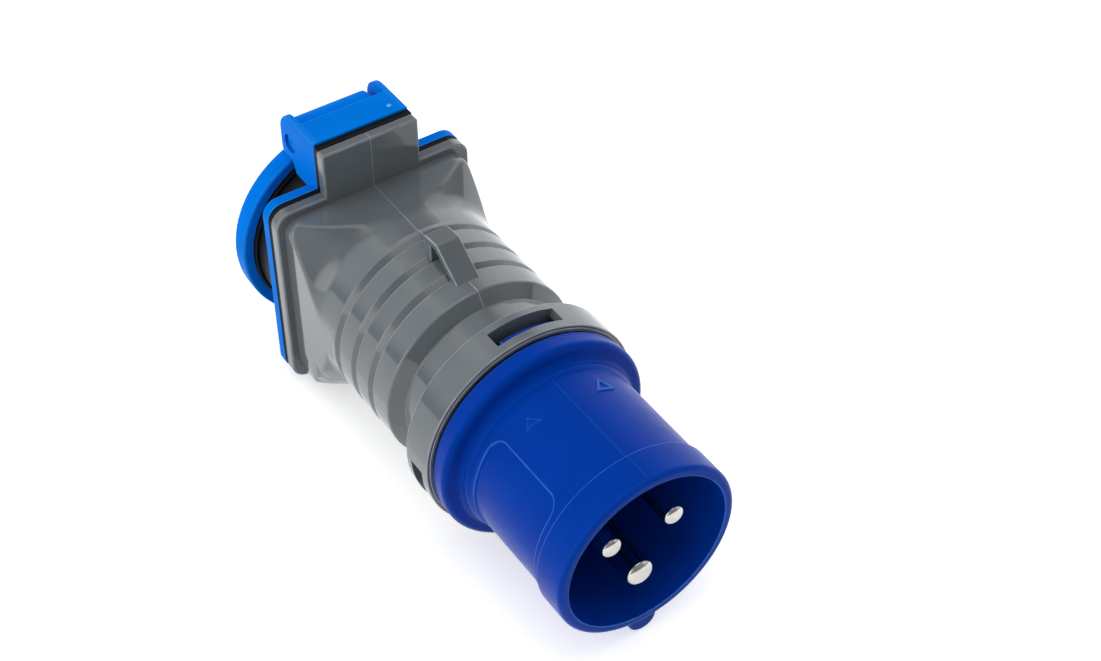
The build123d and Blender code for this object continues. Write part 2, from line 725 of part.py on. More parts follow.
def socket_contact(side):
    """Split brass sleeve with a terminal post behind the rear cap."""
    x = side * CONTACT_SPACING / 2
    front = FLOOR_REAR - 0.1
    bottom = CHAMBER_REAR + 2.0
    contact = rod(CONTACT_RADIUS, CHAMBER_REAR, front, x)
    contact += rod(POST_RADIUS, POST_REAR, CHAMBER_REAR, x)
    contact -= rod(CONTACT_BORE, bottom, front + PAST, x)
    contact -= block(x - 0.4, x + 0.4, bottom + 1.0, front + PAST, -2 * CONTACT_RADIUS,
                     2 * CONTACT_RADIUS)
    contact -= rod(TERMINAL_BORE, POST_REAR - PAST, CHAMBER_REAR - 2.0, x)
    return contact - socket_screw(x, 0.0, SCREW_SHANK + RUNNING_FIT)


def post_station():
    """Station of the clamp screws in the socket's terminal posts."""
    return POST_REAR + 3.2


def socket_screw(x, z, shank=SCREW_SHANK):
    """Clamp screw in the top of a terminal post."""
    reach = POST_RADIUS - CORE_RADIUS
    stem = Pos(x, post_station(), z + POST_RADIUS - reach / 2) * Cylinder(shank, reach)
    if shank != SCREW_SHANK:
        return stem
    place = Pos(x, post_station(), z + POST_RADIUS + SCREW_HEAD_HEIGHT / 2)
    slot = place * Pos(0, 0, 0.5) * Box(0.6, 2 * SCREW_HEAD, SCREW_HEAD_HEIGHT - 0.6)
    return stem + place * Cylinder(SCREW_HEAD, SCREW_HEAD_HEIGHT) - slot


def earth_post_height():
    """Height of the earth terminal below the main axis."""
    return -PIN_CIRCLE


def earth_clip():
    """Bent brass strip with two sprung fingers in the well and one terminal post."""
    back = CHAMBER_REAR
    gauge = 0.8
    rail = SOCKET_RADIUS - 0.8 + gauge / 2
    tip = SOCKET_END - 4.0
    finger = [
        (back - gauge, 0.0),
        (back - gauge, rail),
        (tip - 5.0, rail),
        (tip - 2.5, rail - 1.2),
        (tip, rail - 0.2),
        (tip + 0.3, rail - 0.2 - gauge),
        (tip - 2.5, rail - 1.2 - gauge),
        (tip - 5.2, rail - gauge),
        (back, rail - gauge),
        (back, 0.0),
    ]
    upper = side_profile(finger, 2.2)
    lower = side_profile([(y, -z) for y, z in finger], 2.2)
    height = earth_post_height()
    clip = upper + lower + rod(POST_RADIUS, POST_REAR, back - gauge, 0.0, height)
    clip -= rod(TERMINAL_BORE, POST_REAR - PAST, back - 2.0, 0.0, height)
    return clip - socket_screw(0.0, height, SCREW_SHANK + RUNNING_FIT)


def socket_rear_cap():
    """Cap that closes the contact chambers and holds the earth strip down."""
    cap = rod(CHAMBER_RADIUS + 2.4, CHAMBER_REAR - REAR_CAP_THICKNESS, CHAMBER_REAR)
    cap -= block(-2.3, 2.3, CHAMBER_REAR - 0.85, CHAMBER_REAR + PAST, -2 * CHAMBER_RADIUS,
                 2 * CHAMBER_RADIUS)
    for x, z in ((-CONTACT_SPACING / 2, 0), (CONTACT_SPACING / 2, 0), (0, earth_post_height())):
        cap -= rod(POST_RADIUS + 0.1, CHAMBER_REAR - REAR_CAP_THICKNESS - PAST, CHAMBER_REAR + PAST, x, z)
    return cap


# Fastenings and wiring

def pin_terminal_screws():
    """Three clamp screws of the contact pins."""
    screws = [pin_screw(radius - PIN_STEP, x, z) for radius, x, z in pin_places().values()]
    return Compound(children=[screw.solid() for screw in screws])


def socket_terminal_screws():
    """Three clamp screws of the socket's terminal posts."""
    half = CONTACT_SPACING / 2
    places = ((-half, 0.0), (half, 0.0), (0.0, earth_post_height()))
    return Compound(children=[socket_screw(x, z).solid() for x, z in places])


def wire(start, end):
    """Insulated wire with bared ends, from a pin to a socket terminal."""
    first = TERMINAL_REAR
    last = POST_REAR
    run = (last - first) / 3.2
    points = [
        Vector(start[0], first, start[1]),
        Vector(start[0], first + run, start[1]),
        Vector(end[0], last - run, end[1]),
        Vector(end[0], last, end[1]),
    ]
    turn = math.radians((points[1] - points[0]).get_angle(points[2] - points[1]))
    bend = min(0.45 * run / math.tan(turn / 2), 400.0) if turn > 1e-3 else None
    path = FilletPolyline(*points, radius=bend) if bend else Line(points[0], points[-1])
    body = sweep(Plane(origin=points[0], z_dir=(0, 1, 0)) * Circle(WIRE_RADIUS), path)
    body += rod(CORE_RADIUS, first - CORE_LENGTH, first + 0.5, start[0], start[1])
    return body + rod(CORE_RADIUS, last - 0.5, last + CORE_LENGTH, end[0], end[1])


def wires():
    """The three inner wires by name."""
    pins = pin_places()
    half = CONTACT_SPACING / 2
    return {
        "line_wire": wire(pins["line_pin"][1:], (half, 0.0)),
        "neutral_wire": wire(pins["neutral_pin"][1:], (-half, 0.0)),
        "earth_wire": wire(pins["earth_pin"][1:], (0.0, earth_post_height())),
    }


def all_parts():
    """Every separate piece by node name."""
    parts = {
        "housing": housing(),
        "plug_sleeve": plug_sleeve(),
        "pin_carrier": pin_carrier(),
        "pin_terminal_screws": pin_terminal_screws(),
        "front_seal": front_seal(),
        "plate_gasket": plate_gasket(),
        "face_plate": face_plate(),
        "plate_screws": plate_screws(),
        "lid": lid(),
        "lid_seal": lid_seal(),
        "hinge_pin": hinge_pin(),
        "lid_spring": lid_spring(),
        "socket_insert": socket_insert(),
        "line_contact": socket_contact(1),
        "neutral_contact": socket_contact(-1),
        "earth_clip": earth_clip(),
        "socket_rear_cap": socket_rear_cap(),
        "socket_terminal_screws": socket_terminal_screws(),
    }
    for name, (radius, x, z) in pin_places().items():
        parts[name] = contact_pin(radius, x, z)
    parts.update(wires())
    return parts


if __name__ == "__main__":
    os.makedirs("parts", exist_ok=True)
    for name, shape in all_parts().items():
        export_step(shape, f"parts/{name}.step")
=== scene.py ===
"""Pin and sleeve adapter plug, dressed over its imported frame.

Every length is in millimetres and is turned to metres when a mesh is made.
The main axis is Y: the contact pins point to -Y, the socket lid faces +Y, and the lid hinge is on +Z.
"""

import json
import logging
import math
from dataclasses import dataclass
from enum import Enum
from typing import Callable, Collection, Sequence

import bmesh
import bpy
from mathutils import Matrix, Vector

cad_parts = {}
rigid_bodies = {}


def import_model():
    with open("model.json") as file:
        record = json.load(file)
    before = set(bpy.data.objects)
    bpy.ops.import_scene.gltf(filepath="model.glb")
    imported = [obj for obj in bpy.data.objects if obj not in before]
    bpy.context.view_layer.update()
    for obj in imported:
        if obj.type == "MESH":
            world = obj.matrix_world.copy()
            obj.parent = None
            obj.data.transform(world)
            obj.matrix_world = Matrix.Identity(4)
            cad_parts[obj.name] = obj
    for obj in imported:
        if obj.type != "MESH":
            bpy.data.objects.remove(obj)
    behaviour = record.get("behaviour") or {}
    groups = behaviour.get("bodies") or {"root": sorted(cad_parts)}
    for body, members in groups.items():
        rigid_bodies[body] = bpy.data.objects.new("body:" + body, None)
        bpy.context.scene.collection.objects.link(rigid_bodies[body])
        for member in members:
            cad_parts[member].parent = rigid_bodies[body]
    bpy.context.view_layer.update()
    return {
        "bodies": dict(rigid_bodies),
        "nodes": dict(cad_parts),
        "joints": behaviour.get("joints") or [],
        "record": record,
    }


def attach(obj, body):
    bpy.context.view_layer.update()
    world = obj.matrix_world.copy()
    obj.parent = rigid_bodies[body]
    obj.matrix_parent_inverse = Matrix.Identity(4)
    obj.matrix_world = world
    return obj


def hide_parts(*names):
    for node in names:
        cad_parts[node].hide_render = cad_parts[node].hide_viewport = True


log = logging.getLogger("adapter_plug")

MM = 0.001
# Face attribute that holds how tightly the skin bends outwards, which sets where the painted edge
# highlight goes.
BEND = "outer_bend"
# Largest turn between two points of an arc, and angle above which an edge stays sharp, in degrees.
ARC_STEP = 9.0
SHARP_ANGLE = 32.0
# Lengths that differ by less are the same.
SAME = 1e-6
# Smallest radius of a turned profile, so that no ring of it shrinks to a point.
NEAR_AXIS = 0.01
# Middles of the catches and of the windows they stand in, in degrees from +Z towards +X.
CATCH_ANGLES = (3.6, -109.5, 116.5)
# Half width and corners of the square flange and of the face plate on it.
PLATE_HALF = 25.7
PLATE_CORNER = 4.0
# Station and height of the axis of the lid's hinge.
PIVOT_Y = 125.2
PIVOT_Z = 30.6

Tree = bpy.types.NodeTree
Node = bpy.types.Node
Socket = bpy.types.NodeSocket
Material = bpy.types.Material
Mesh = bpy.types.Mesh
Piece = bpy.types.Object
Vert = bmesh.types.BMVert
Corner = tuple[float, ...]
Points = list[tuple[float, float]]
Outline = Sequence[tuple[float, float]]
Ring = tuple[Outline, float]
Place = Callable[[float, float, float], Vector]


class Body(Enum):
    """Moving bodies of the frame."""

    PLUG = "plug_body"
    LID = "lid_body"


class Slot(Enum):
    """Material slots of the record."""

    BLUE_FRONT = "blue_front"
    BLUE_REAR = "blue_rear"
    GREY = "grey_body"
    SEAL = "black_seal"
    NICKEL = "nickel"
    BRASS = "brass"
    STEEL = "steel"
    INSERT = "black_insert"
    BROWN = "wire_brown"
    BLUE = "wire_blue"
    GREEN = "wire_green"


# Colours and nodes

def linear(hex_colour: str) -> tuple[float, float, float, float]:
    """Turn an sRGB hex colour into linear values.

    Args:
        hex_colour: six hex digits, with or without a leading mark.

    Returns:
        Red, green, blue and an alpha of one.
    """
    digits = hex_colour.lstrip("#")
    channels = [int(digits[i:i + 2], 16) / 255 for i in (0, 2, 4)]
    curve = [c / 12.92 if c <= 0.04045 else ((c + 0.055) / 1.055) ** 2.4 for c in channels]
    return (curve[0], curve[1], curve[2], 1.0)


def wire(node: Node, inputs: dict) -> None:
    """Set or link inputs of a node.

    Args:
        node: the node.
        inputs: input name or number to a value, or to an output socket to link from.
    """
    for name, value in inputs.items():
        if isinstance(value, Socket):
            node.id_data.links.new(value, node.inputs[name])
        else:
            node.inputs[name].default_value = value


def add_node(tree: Tree, kind: str, settings: dict | None = None, inputs: dict | None = None) -> Node:
    """Add a node with its settings and links.

    Args:
        tree: the node tree that gets the node.
        kind: the node's type name.
        settings: properties to set on the node.
        inputs: input name or number to a value, or to an output socket to link from.

    Returns:
        The new node.
    """
    node = tree.nodes.new(kind)
    for name, value in (settings or {}).items():
        setattr(node, name, value)
    wire(node, inputs or {})
    return node


def computed(tree: Tree, operation: str, *values: float | Socket) -> Socket:
    """Result of a math node on numbers or output sockets, in the order of its inputs."""
    node = add_node(tree, "ShaderNodeMath", {"operation": operation}, dict(enumerate(values)))
    return node.outputs[0]


def vector(tree: Tree, **parts: float | Socket) -> Socket:
    """Vector made of its named X, Y and Z parts."""
    return add_node(tree, "ShaderNodeCombineXYZ", inputs=parts).outputs[0]


def new_material(name: str) -> tuple[Material, Tree, Node]:
    """Make an empty node material.

    Args:
        name: the material's name.

    Returns:
        The material, its tree and its shader node.
    """
    material = bpy.data.materials.new(name)
    material.use_nodes = True
    tree = material.node_tree
    return material, tree, tree.nodes["Principled BSDF"]


def object_place(tree: Tree) -> Socket:
    """Object coordinates in metres."""
    return add_node(tree, "ShaderNodeTexCoord").outputs["Object"]


def noise(tree: Tree, grain: float, detail: float = 2.0, place: Socket | None = None) -> Socket:
    """Noise whose grains are a given size.

    Args:
        tree: the material's tree.
        grain: size of a grain in millimetres.
        detail: octaves of the noise.
        place: coordinates, if not the object's own.

    Returns:
        The noise value.
    """
    if place is None:
        place = object_place(tree)
    return add_node(tree, "ShaderNodeTexNoise", inputs={
        "Vector": place, "Scale": 1 / (grain * MM), "Detail": detail}).outputs["Fac"]


def spread(tree: Tree, value: Socket, low: float, high: float) -> Socket:
    """Map a noise value to a range.

    Args:
        tree: the material's tree.
        value: the noise.
        low: result where the noise is low.
        high: result where it is high.

    Returns:
        The mapped value.
    """
    return add_node(tree, "ShaderNodeMapRange", {"clamp": False}, {
        "Value": value, "From Min": 0.3, "From Max": 0.7, "To Min": low, "To Max": high,
    }).outputs["Result"]


def mixed(tree: Tree, share: Socket, first: str | Socket, second: str) -> Socket:
    """Mix a colour with another.

    Args:
        tree: the material's tree.
        share: how much of the second colour shows.
        first: hex colour or colour socket.
        second: hex colour.

    Returns:
        The mixed colour.
    """
    start = linear(first) if isinstance(first, str) else first
    sockets = {0: share, 6: start, 7: linear(second)}
    return add_node(tree, "ShaderNodeMix", {"data_type": "RGBA"}, sockets).outputs[2]


def mottled(tree: Tree, grain: float, dark: str, light: str) -> Socket:
    """Colour that drifts between two hex shades, in patches of a size in millimetres."""
    return mixed(tree, spread(tree, noise(tree, grain, 3.0), 0.0, 1.0), dark, light)


def bumped(tree: Tree, strength: float, depth: float, height: Socket,
           normal: Socket | None = None) -> Socket:
    """Normal of a skin with a fine relief.

    Args:
        tree: the material's tree.
        strength: how much of the relief shows.
        depth: depth of the relief in millimetres.
        height: the relief, from zero to one.
        normal: normal that it starts from, if not the mesh's own.

    Returns:
        The new normal.
    """
    inputs = {"Strength": strength, "Distance": depth * MM, "Height": height}
    if normal is not None:
        inputs["Normal"] = normal
    return add_node(tree, "ShaderNodeBump", inputs=inputs).outputs["Normal"]


@dataclass(frozen=True)
class Seam:
    """Parting line of a mould, a fine ridge in a plane of constant X.

    Attributes:
        x: place of the plane in millimetres.
        width: width of the ridge in millimetres.
        lift: height of the ridge in millimetres.
        show: how much of the painted edge highlight colour lies along it, from zero to one.
        start: first station where it shows, in millimetres.
        end: last station where it shows, in millimetres.
        bridge: stations between which the strap hides it, in millimetres.
    """

    x: float
    width: float
    lift: float
    show: float
    start: float
    end: float
    bridge: tuple[float, float] = (0.0, 0.0)

    def height(self, tree: Tree) -> Socket:
        """Ridge height from zero to one, above the main axis only.

        Args:
            tree: the material's tree.

        Returns:
            The height value.
        """
        place = add_node(tree, "ShaderNodeSeparateXYZ", inputs={"Vector": object_place(tree)}).outputs
        away = computed(tree, "ABSOLUTE", computed(tree, "SUBTRACT", place["X"], self.x * MM))
        value = add_node(tree, "ShaderNodeMapRange", {"interpolation_type": "SMOOTHSTEP"}, {
            "Value": away, "From Min": 0.0, "From Max": self.width / 2 * MM,
            "To Min": 1.0, "To Max": 0.0}).outputs["Result"]
        middle = (self.bridge[0] + self.bridge[1]) / 2
        along = computed(tree, "ABSOLUTE", computed(tree, "SUBTRACT", place["Y"], middle * MM))
        gates = (
            ("GREATER_THAN", place["Z"], 0.0),
            ("GREATER_THAN", place["Y"], self.start * MM),
            ("LESS_THAN", place["Y"], self.end * MM),
            ("GREATER_THAN", along, (self.bridge[1] - middle) * MM),
        )
        for operation, station, limit in gates:
            value = computed(tree, "MULTIPLY", value, computed(tree, operation, station, limit))
        return value


@dataclass(frozen=True)
class MouldedPlastic:
    """Injection moulded plastic: clear reflections, faint flow marks, a painted highlight along its outer
    edges.

    Attributes:
        name: the material's name.
        dark: hex colour in the thinner shade.
        light: hex colour in the fuller shade.
        edge: hex colour of the painted highlight on outer edges and along the parting line.
        roughness: middle of the roughness.
        shine: specular level, one half for an untinted surface of this kind.
        sheen: hex colour of the specular reflection.
        grain: strength of the skin's fine texture.
        seam: parting line, if the piece shows one.
        bends: bends in radians a millimetre where the painted edge highlight starts and where it is full.
    """

    name: str
    dark: str
    light: str
    edge: str
    roughness: float = 0.2
    shine: float = 0.5
    sheen: str = "#ffffff"
    grain: float = 0.1
    seam: Seam | None = None
    bends: tuple[float, float] = (0.6, 6.0)

    def make(self) -> Material:
        """Build the material.

        Returns:
            The material.
        """
        material, tree, shader = new_material(self.name)
        colour = mottled(tree, 9.0, self.dark, self.light)
        normal = bumped(tree, self.grain, 0.02, noise(tree, 0.6, 3.0))
        if self.seam:
            normal = bumped(tree, 1.0, self.seam.lift, self.seam.height(tree), normal)
        uneven = 0.03
        wire(shader, {
            # The edge colour is mixed in as a painted highlight on tight outer bends and the parting
            # line.
            "Base Color": mixed(tree, self.painted_edge_highlight(tree), colour, self.edge),
            "Roughness": spread(tree, noise(tree, 4.0), self.roughness - uneven, self.roughness + uneven),
            "IOR": 1.5,
            "Specular IOR Level": self.shine,
            "Specular Tint": linear(self.sheen),
            "Normal": normal,
        })
        return material

    def painted_edge_highlight(self, tree: Tree) -> Socket:
        """Share of the painted edge highlight colour, from the bend that each face of the mesh carries.

        Args:
            tree: the material's tree.

        Returns:
            The share, from zero on flat skin to one on a tight outer edge.
        """
        bend = add_node(tree, "ShaderNodeAttribute", {"attribute_name": BEND}).outputs["Fac"]
        share = add_node(tree, "ShaderNodeMapRange", inputs={
            "Value": bend, "From Min": self.bends[0], "From Max": self.bends[1]}).outputs["Result"]
        if self.seam:
            line = computed(tree, "MULTIPLY", self.seam.height(tree), self.seam.show)
            share = computed(tree, "MAXIMUM", share, line)
        return computed(tree, "MULTIPLY", share, spread(tree, noise(tree, 3.0), 0.6, 1.0))


@dataclass(frozen=True)
class SealRubber:
    """Black moulded rubber: soft sheen, fine grain, a little bloom.

    Attributes:
        name: the material's name.
        dark: hex colour of the skin.
        light: hex colour of the bloom.
        roughness: lowest and highest roughness.
        shine: specular level, low for a dull skin.
    """

    name: str = "moulded_black_rubber"
    dark: str = "#070708"
    light: str = "#0e0e0f"
    roughness: tuple[float, float] = (0.5, 0.62)
    shine: float = 0.12

    def make(self) -> Material:
        """Build the material.

        Returns:
            The material.
        """
        material, tree, shader = new_material(self.name)
        wire(shader, {
            "Base Color": mottled(tree, 3.0, self.dark, self.light),
            "Roughness": spread(tree, noise(tree, 1.5), *self.roughness),
            "IOR": 1.52,
            "Specular IOR Level": self.shine,
            "Normal": bumped(tree, 0.3, 0.01, noise(tree, 0.4)),
        })
        return material


@dataclass(frozen=True)
class Metal:
    """Bare or plated metal that was turned, stamped or drawn.

    Attributes:
        name: the material's name.
        dark: hex colour in the tool marks.
        light: hex colour between them.
        roughness: middle of the roughness.
        mark: spacing of the tool marks in millimetres, drawn coarser than real so that they show.
    """

    name: str
    dark: str
    light: str
    roughness: float
    mark: float = 0.35

    def make(self) -> Material:
        """Build the material.

        Returns:
            The material.
        """
        material, tree, shader = new_material(self.name)
        stretched = add_node(tree, "ShaderNodeMapping", inputs={
            "Vector": object_place(tree), "Scale": (0.15, 1.0, 0.15)}).outputs["Vector"]
        wire(shader, {
            "Metallic": 1.0,
            "Base Color": mottled(tree, 2.5, self.dark, self.light),
            "Roughness": spread(tree, noise(tree, 1.0), self.roughness - 0.03, self.roughness + 0.05),
            "Normal": bumped(tree, 0.12, 0.01, noise(tree, self.mark, 1.0, stretched)),
        })
        return material


class Finishes:
    """Every finish of the plug, made once."""

    def __init__(self) -> None:
        """Build all materials."""
        # Each parting line carries some of the painted edge highlight colour, as much as its show says.
        sleeve_seam = Seam(x=-0.4, width=0.4, lift=0.03, show=0.14, start=1.5, end=35.0)
        housing_seam = Seam(x=0.0, width=0.35, lift=0.1, show=0.6, start=62.0, end=112.0,
                            bridge=(68.0, 81.8))
        # The fourth colour of each moulded finish is the painted highlight on its outer edges.
        self.blue_front = MouldedPlastic(
            "moulded_deep_blue_polyamide", "#01379c", "#013aa4", "#4a88ee", roughness=0.33, shine=0.07,
            sheen="#2f6cff", grain=0.3, seam=sleeve_seam).make()
        self.blue_inner = MouldedPlastic(
            "moulded_dark_blue_polyamide", "#001f7c", "#002488", "#2a5cc4", roughness=0.25, shine=0.3,
            sheen="#2f6cff").make()
        self.blue_rear = MouldedPlastic(
            "moulded_azure_polypropylene", "#0074dc", "#007ae6", "#3a9cff", roughness=0.32,
            shine=0.006, sheen="#1f8cff").make()
        # Paler azure of the gate pip: a painted highlight.
        self.gate_painted_highlight = MouldedPlastic(
            "azure_gate_painted_highlight", "#2fa4ff", "#48b4ff", "#7cccff", roughness=0.4,
            shine=0.1).make()
        self.grey = MouldedPlastic(
            "moulded_grey_polyamide", "#5f666b", "#646b70", "#b4bbc0", roughness=0.07, grain=0.05,
            seam=housing_seam).make()
        self.insert = MouldedPlastic(
            "moulded_black_insert", "#0d0d0e", "#131315", "#2a2a2d", roughness=0.45,
            shine=0.15).make()
        self.brown = MouldedPlastic(
            "brown_insulation", "#4a2412", "#542a16", "#6a3a20", roughness=0.4).make()
        self.blue_wire = MouldedPlastic(
            "blue_insulation", "#1540a0", "#1848ac", "#2c5cc0", roughness=0.4).make()
        self.green = MouldedPlastic(
            "green_insulation", "#2f8a28", "#38962e", "#54aa48", roughness=0.4).make()
        self.rubber = SealRubber().make()
        self.nickel = Metal("nickel_plated_brass", "#b4b2ae", "#c6c4c0", 0.12).make()
        self.brass = Metal("stamped_brass", "#b08a48", "#c49c56", 0.28).make()
        self.steel = Metal("zinc_plated_steel", "#9a9ca0", "#b0b2b6", 0.3).make()


# Mesh making

def rounded(points: Sequence[Corner], closed: bool = True) -> Points:
    """Turn corners into a fine polyline, with an arc where a third number gives a radius.

    Args:
        points: (a, b) or (a, b, radius) corners in order.
        closed: whether the last corner joins the first.

    Returns:
        Points of the polyline.
    """
    result = []
    count = len(points)
    for index, point in enumerate(points):
        here = Vector(point[:2])
        inner = closed or 0 < index < count - 1
        if len(point) < 3 or not inner or point[2] <= 0:
            result.append((here.x, here.y))
            continue
        before = (Vector(points[index - 1][:2]) - here).normalized()
        after = (Vector(points[(index + 1) % count][:2]) - here).normalized()
        half = before.angle(after) / 2
        reach = point[2] / math.tan(half)
        centre = here + (before + after).normalized() * point[2] / math.sin(half)
        start = here + before * reach - centre
        stop = here + after * reach - centre
        turn = math.pi - 2 * half
        sign = 1 if start.x * stop.y - start.y * stop.x > 0 else -1
        steps = max(2, math.ceil(math.degrees(turn) / ARC_STEP))
        for k in range(steps + 1):
            angle = sign * turn * k / steps
            cos, sin = math.cos(angle), math.sin(angle)
            spot = centre + Vector((start.x * cos - start.y * sin, start.x * sin + start.y * cos))
            result.append((spot.x, spot.y))
    return result


def about_y(x: float = 0.0, z: float = 0.0) -> Place:
    """Place of (radius, station, angle) about a line along Y, with the angle from +Z to +X."""
    return lambda radius, station, angle: Vector(
        (x + radius * math.sin(angle), station, z + radius * math.cos(angle)))


def about_x(y: float, z: float) -> Place:
    """Place of (radius, station, angle) about a line along X, with the angle from +Y to +Z."""
    return lambda radius, station, angle: Vector(
        (station, y + radius * math.cos(angle), z + radius * math.sin(angle)))


def along_x(a: float, b: float, depth: float) -> Vector:
    """Place of a (y, z) outline that is thickened along X."""
    return Vector((depth, a, b))


def along_y(a: float, b: float, depth: float) -> Vector:
    """Place of an (x, z) outline that is thickened along Y."""
    return Vector((a, depth, b))


def along_z(a: float, b: float, depth: float) -> Vector:
    """Place of an (x, y) outline that is thickened along Z."""
    return Vector((a, b, depth))


def spaced(start: float, span: float, steps: int) -> list[float]:
    """Numbers that divide a span into even steps, with both of its ends."""
    return [start + span * k / steps for k in range(steps + 1)]


def edge_levels(radius: float, steps: int = 5) -> Points:
    """Insets and depths that round the end of a prism, from the flat face inwards.

    Args:
        radius: radius of the edge, or zero for a sharp one.
        steps: parts of the arc.

    Returns:
        (inset, depth) pairs.
    """
    if radius <= 0:
        return [(0.0, 0.0)]
    return [(radius * (1 - math.sin(t)), radius * (1 - math.cos(t)))
            for t in spaced(0.0, math.pi / 2, steps)]


def inset_loop(outline: Outline, distance: float) -> Points:
    """Move a closed outline inwards.

    Args:
        outline: points in order.
        distance: how far every side moves.

    Returns:
        As many points as before.
    """
    count = len(outline)
    area = sum(outline[k - 1][0] * outline[k][1] - outline[k][0] * outline[k - 1][1]
               for k in range(count))
    side = 1 if area > 0 else -1
    moved = []
    for k in range(count):
        here = Vector(outline[k])
        before = (here - Vector(outline[k - 1])).normalized()
        after = (Vector(outline[(k + 1) % count]) - here).normalized()
        normals = [Vector((-d.y, d.x)) * side for d in (before, after)]
        both = (normals[0] + normals[1]).normalized()
        spot = here + both * distance / max(both.dot(normals[0]), 0.3)
        moved.append((spot.x, spot.y))
    return moved


def row_at(profile: Outline, radius: float, station: float) -> int:
    """Number of the profile's first point at a radius and a station."""
    return next(k for k, (r, s) in enumerate(profile)
                if abs(r - radius) < SAME and abs(s - station) < SAME)


def circle(a: float, b: float, radius: float, steps: int = 64) -> Points:
    """Points of a circle in an outline's plane."""
    turns = spaced(0.0, 2 * math.pi, steps)[:-1]
    return [(a + radius * math.cos(t), b + radius * math.sin(t)) for t in turns]


def square_reach(angle: float, half: float, corner: float) -> float:
    """Distance from the middle of a rounded square to its edge.

    Args:
        angle: direction in radians.
        half: half of its side.
        corner: radius of its corners.

    Returns:
        The distance.
    """
    long, short = sorted((abs(math.sin(angle)), abs(math.cos(angle))), reverse=True)
    core = half - corner
    if half * short / long <= core:
        return half / long
    return core * (long + short) + math.sqrt(corner ** 2 - (core * (long - short)) ** 2)


class Shells:
    """Collects closed shells in millimetres and makes one object of them."""

    def __init__(self) -> None:
        """Start with an empty mesh."""
        self.mesh = bmesh.new()

    def grid(self, rows: Sequence[Sequence[Vector]],
             left_out: Collection[tuple[int, int]] = ()) -> list[list[Vert]]:
        """Add a grid that is closed both ways.

        Args:
            rows: rings of points, all of the same count.
            left_out: row and column of each face that is left out.

        Returns:
            The vertices of each row.
        """
        verts = [[self.mesh.verts.new(p * MM) for p in row] for row in rows]
        height, width = len(rows), len(rows[0])
        for i in range(height):
            for j in range(width):
                if (i, j) in left_out:
                    continue
                near, far = verts[i], verts[(i + 1) % height]
                self.mesh.faces.new((near[j], near[(j + 1) % width], far[(j + 1) % width], far[j]))
        return verts

    def turned(self, profile: Outline, place: Place, steps: int = 240) -> None:
        """Add a closed (radius, station) profile turned about an axis."""
        angles = spaced(0.0, 2 * math.pi, steps)[:-1]
        self.grid([[place(radius, station, angle) for angle in angles] for radius, station in profile])

    def sector(self, profile: Outline, place: Place, start: float, end: float) -> None:
        """Add a closed profile turned through part of a circle, with flat ends.

        Args:
            profile: (radius, station) points.
            place: where a point of the turn lies.
            start: first angle in degrees.
            end: last angle in degrees.
        """
        steps = 24
        angles = [math.radians(a) for a in spaced(start, end - start, steps)]
        last_column = {(i, steps) for i in range(len(profile))}
        verts = self.grid([[place(r, s, a) for a in angles] for r, s in profile], last_column)
        self.mesh.faces.new([row[0] for row in verts])
        self.mesh.faces.new([row[-1] for row in reversed(verts)])

    def prism(self, outline: Outline, place: Place, start: float, end: float,
              round_start: float = 0.0, round_end: float = 0.0,
              holes: Sequence[Sequence[Ring]] = ()) -> None:
        """Add an outline thickened between two depths, with rounded edges at its ends.

        Args:
            outline: points of the closed outline.
            place: where (a, b, depth) lies.
            start: first depth.
            end: last depth.
            round_start: radius of the edge at the first depth.
            round_end: radius of the edge at the last depth.
            holes: rings of each hole through it, from the first depth to the last.
        """
        sign = 1 if end > start else -1
        levels = [(drop, start + sign * back) for drop, back in edge_levels(round_start)]
        levels += [(drop, end - sign * back) for drop, back in reversed(edge_levels(round_end))]
        rings = []
        for drop, depth in levels:
            loop = inset_loop(outline, drop) if drop > 0 else outline
            rings.append([self.mesh.verts.new(place(a, b, depth) * MM) for a, b in loop])
        self.wall(rings)
        openings = [[[self.mesh.verts.new(place(a, b, depth) * MM) for a, b in loop]
                     for loop, depth in hole] for hole in holes]
        for opening in openings:
            self.wall(opening)
        self.cap(rings[0], [opening[0] for opening in openings])
        self.cap(rings[-1], [opening[-1] for opening in openings])

    def wall(self, rings: Sequence[Sequence[Vert]]) -> None:
        """Join rings of vertices, each to the next.

        Args:
            rings: vertices of each ring, all of the same count.
        """
        for near, far in zip(rings, rings[1:]):
            for j in range(len(near)):
                k = (j + 1) % len(near)
                self.mesh.faces.new((near[j], near[k], far[k], far[j]))

    def cap(self, ring: Sequence[Vert], holes: Sequence[Sequence[Vert]]) -> None:
        """Close a flat ring, round its holes where it has any.

        Args:
            ring: vertices of the outline in order.
            holes: vertices of each hole in order.
        """
        if not holes:
            self.mesh.faces.new(ring)
            return
        edges = []
        for loop in (ring, *holes):
            edges += [self.mesh.edges.get((loop[j - 1], loop[j])) for j in range(len(loop))]
        bmesh.ops.triangle_fill(self.mesh, edges=edges, use_beauty=True)

    def finish(self, name: str, material: Material, body: Body,
               replaces: Sequence[str] = ()) -> None:
        """Make the object, shade it and hang it on its body, as dress does with a mesh."""
        dress(self.plain(name), name, material, body, replaces)

    def plain(self, name: str) -> Mesh:
        """Merge the shells' doubles, turn their faces outwards and end in a mesh.

        Args:
            name: the mesh's name.

        Returns:
            The mesh.
        """
        near = 0.0005 * MM
        bmesh.ops.remove_doubles(self.mesh, verts=self.mesh.verts, dist=near)
        bmesh.ops.dissolve_degenerate(self.mesh, dist=near, edges=self.mesh.edges)
        bmesh.ops.recalc_face_normals(self.mesh, faces=self.mesh.faces)
        data = bpy.data.meshes.new(name)
        self.mesh.to_mesh(data)
        self.mesh.free()
        return data


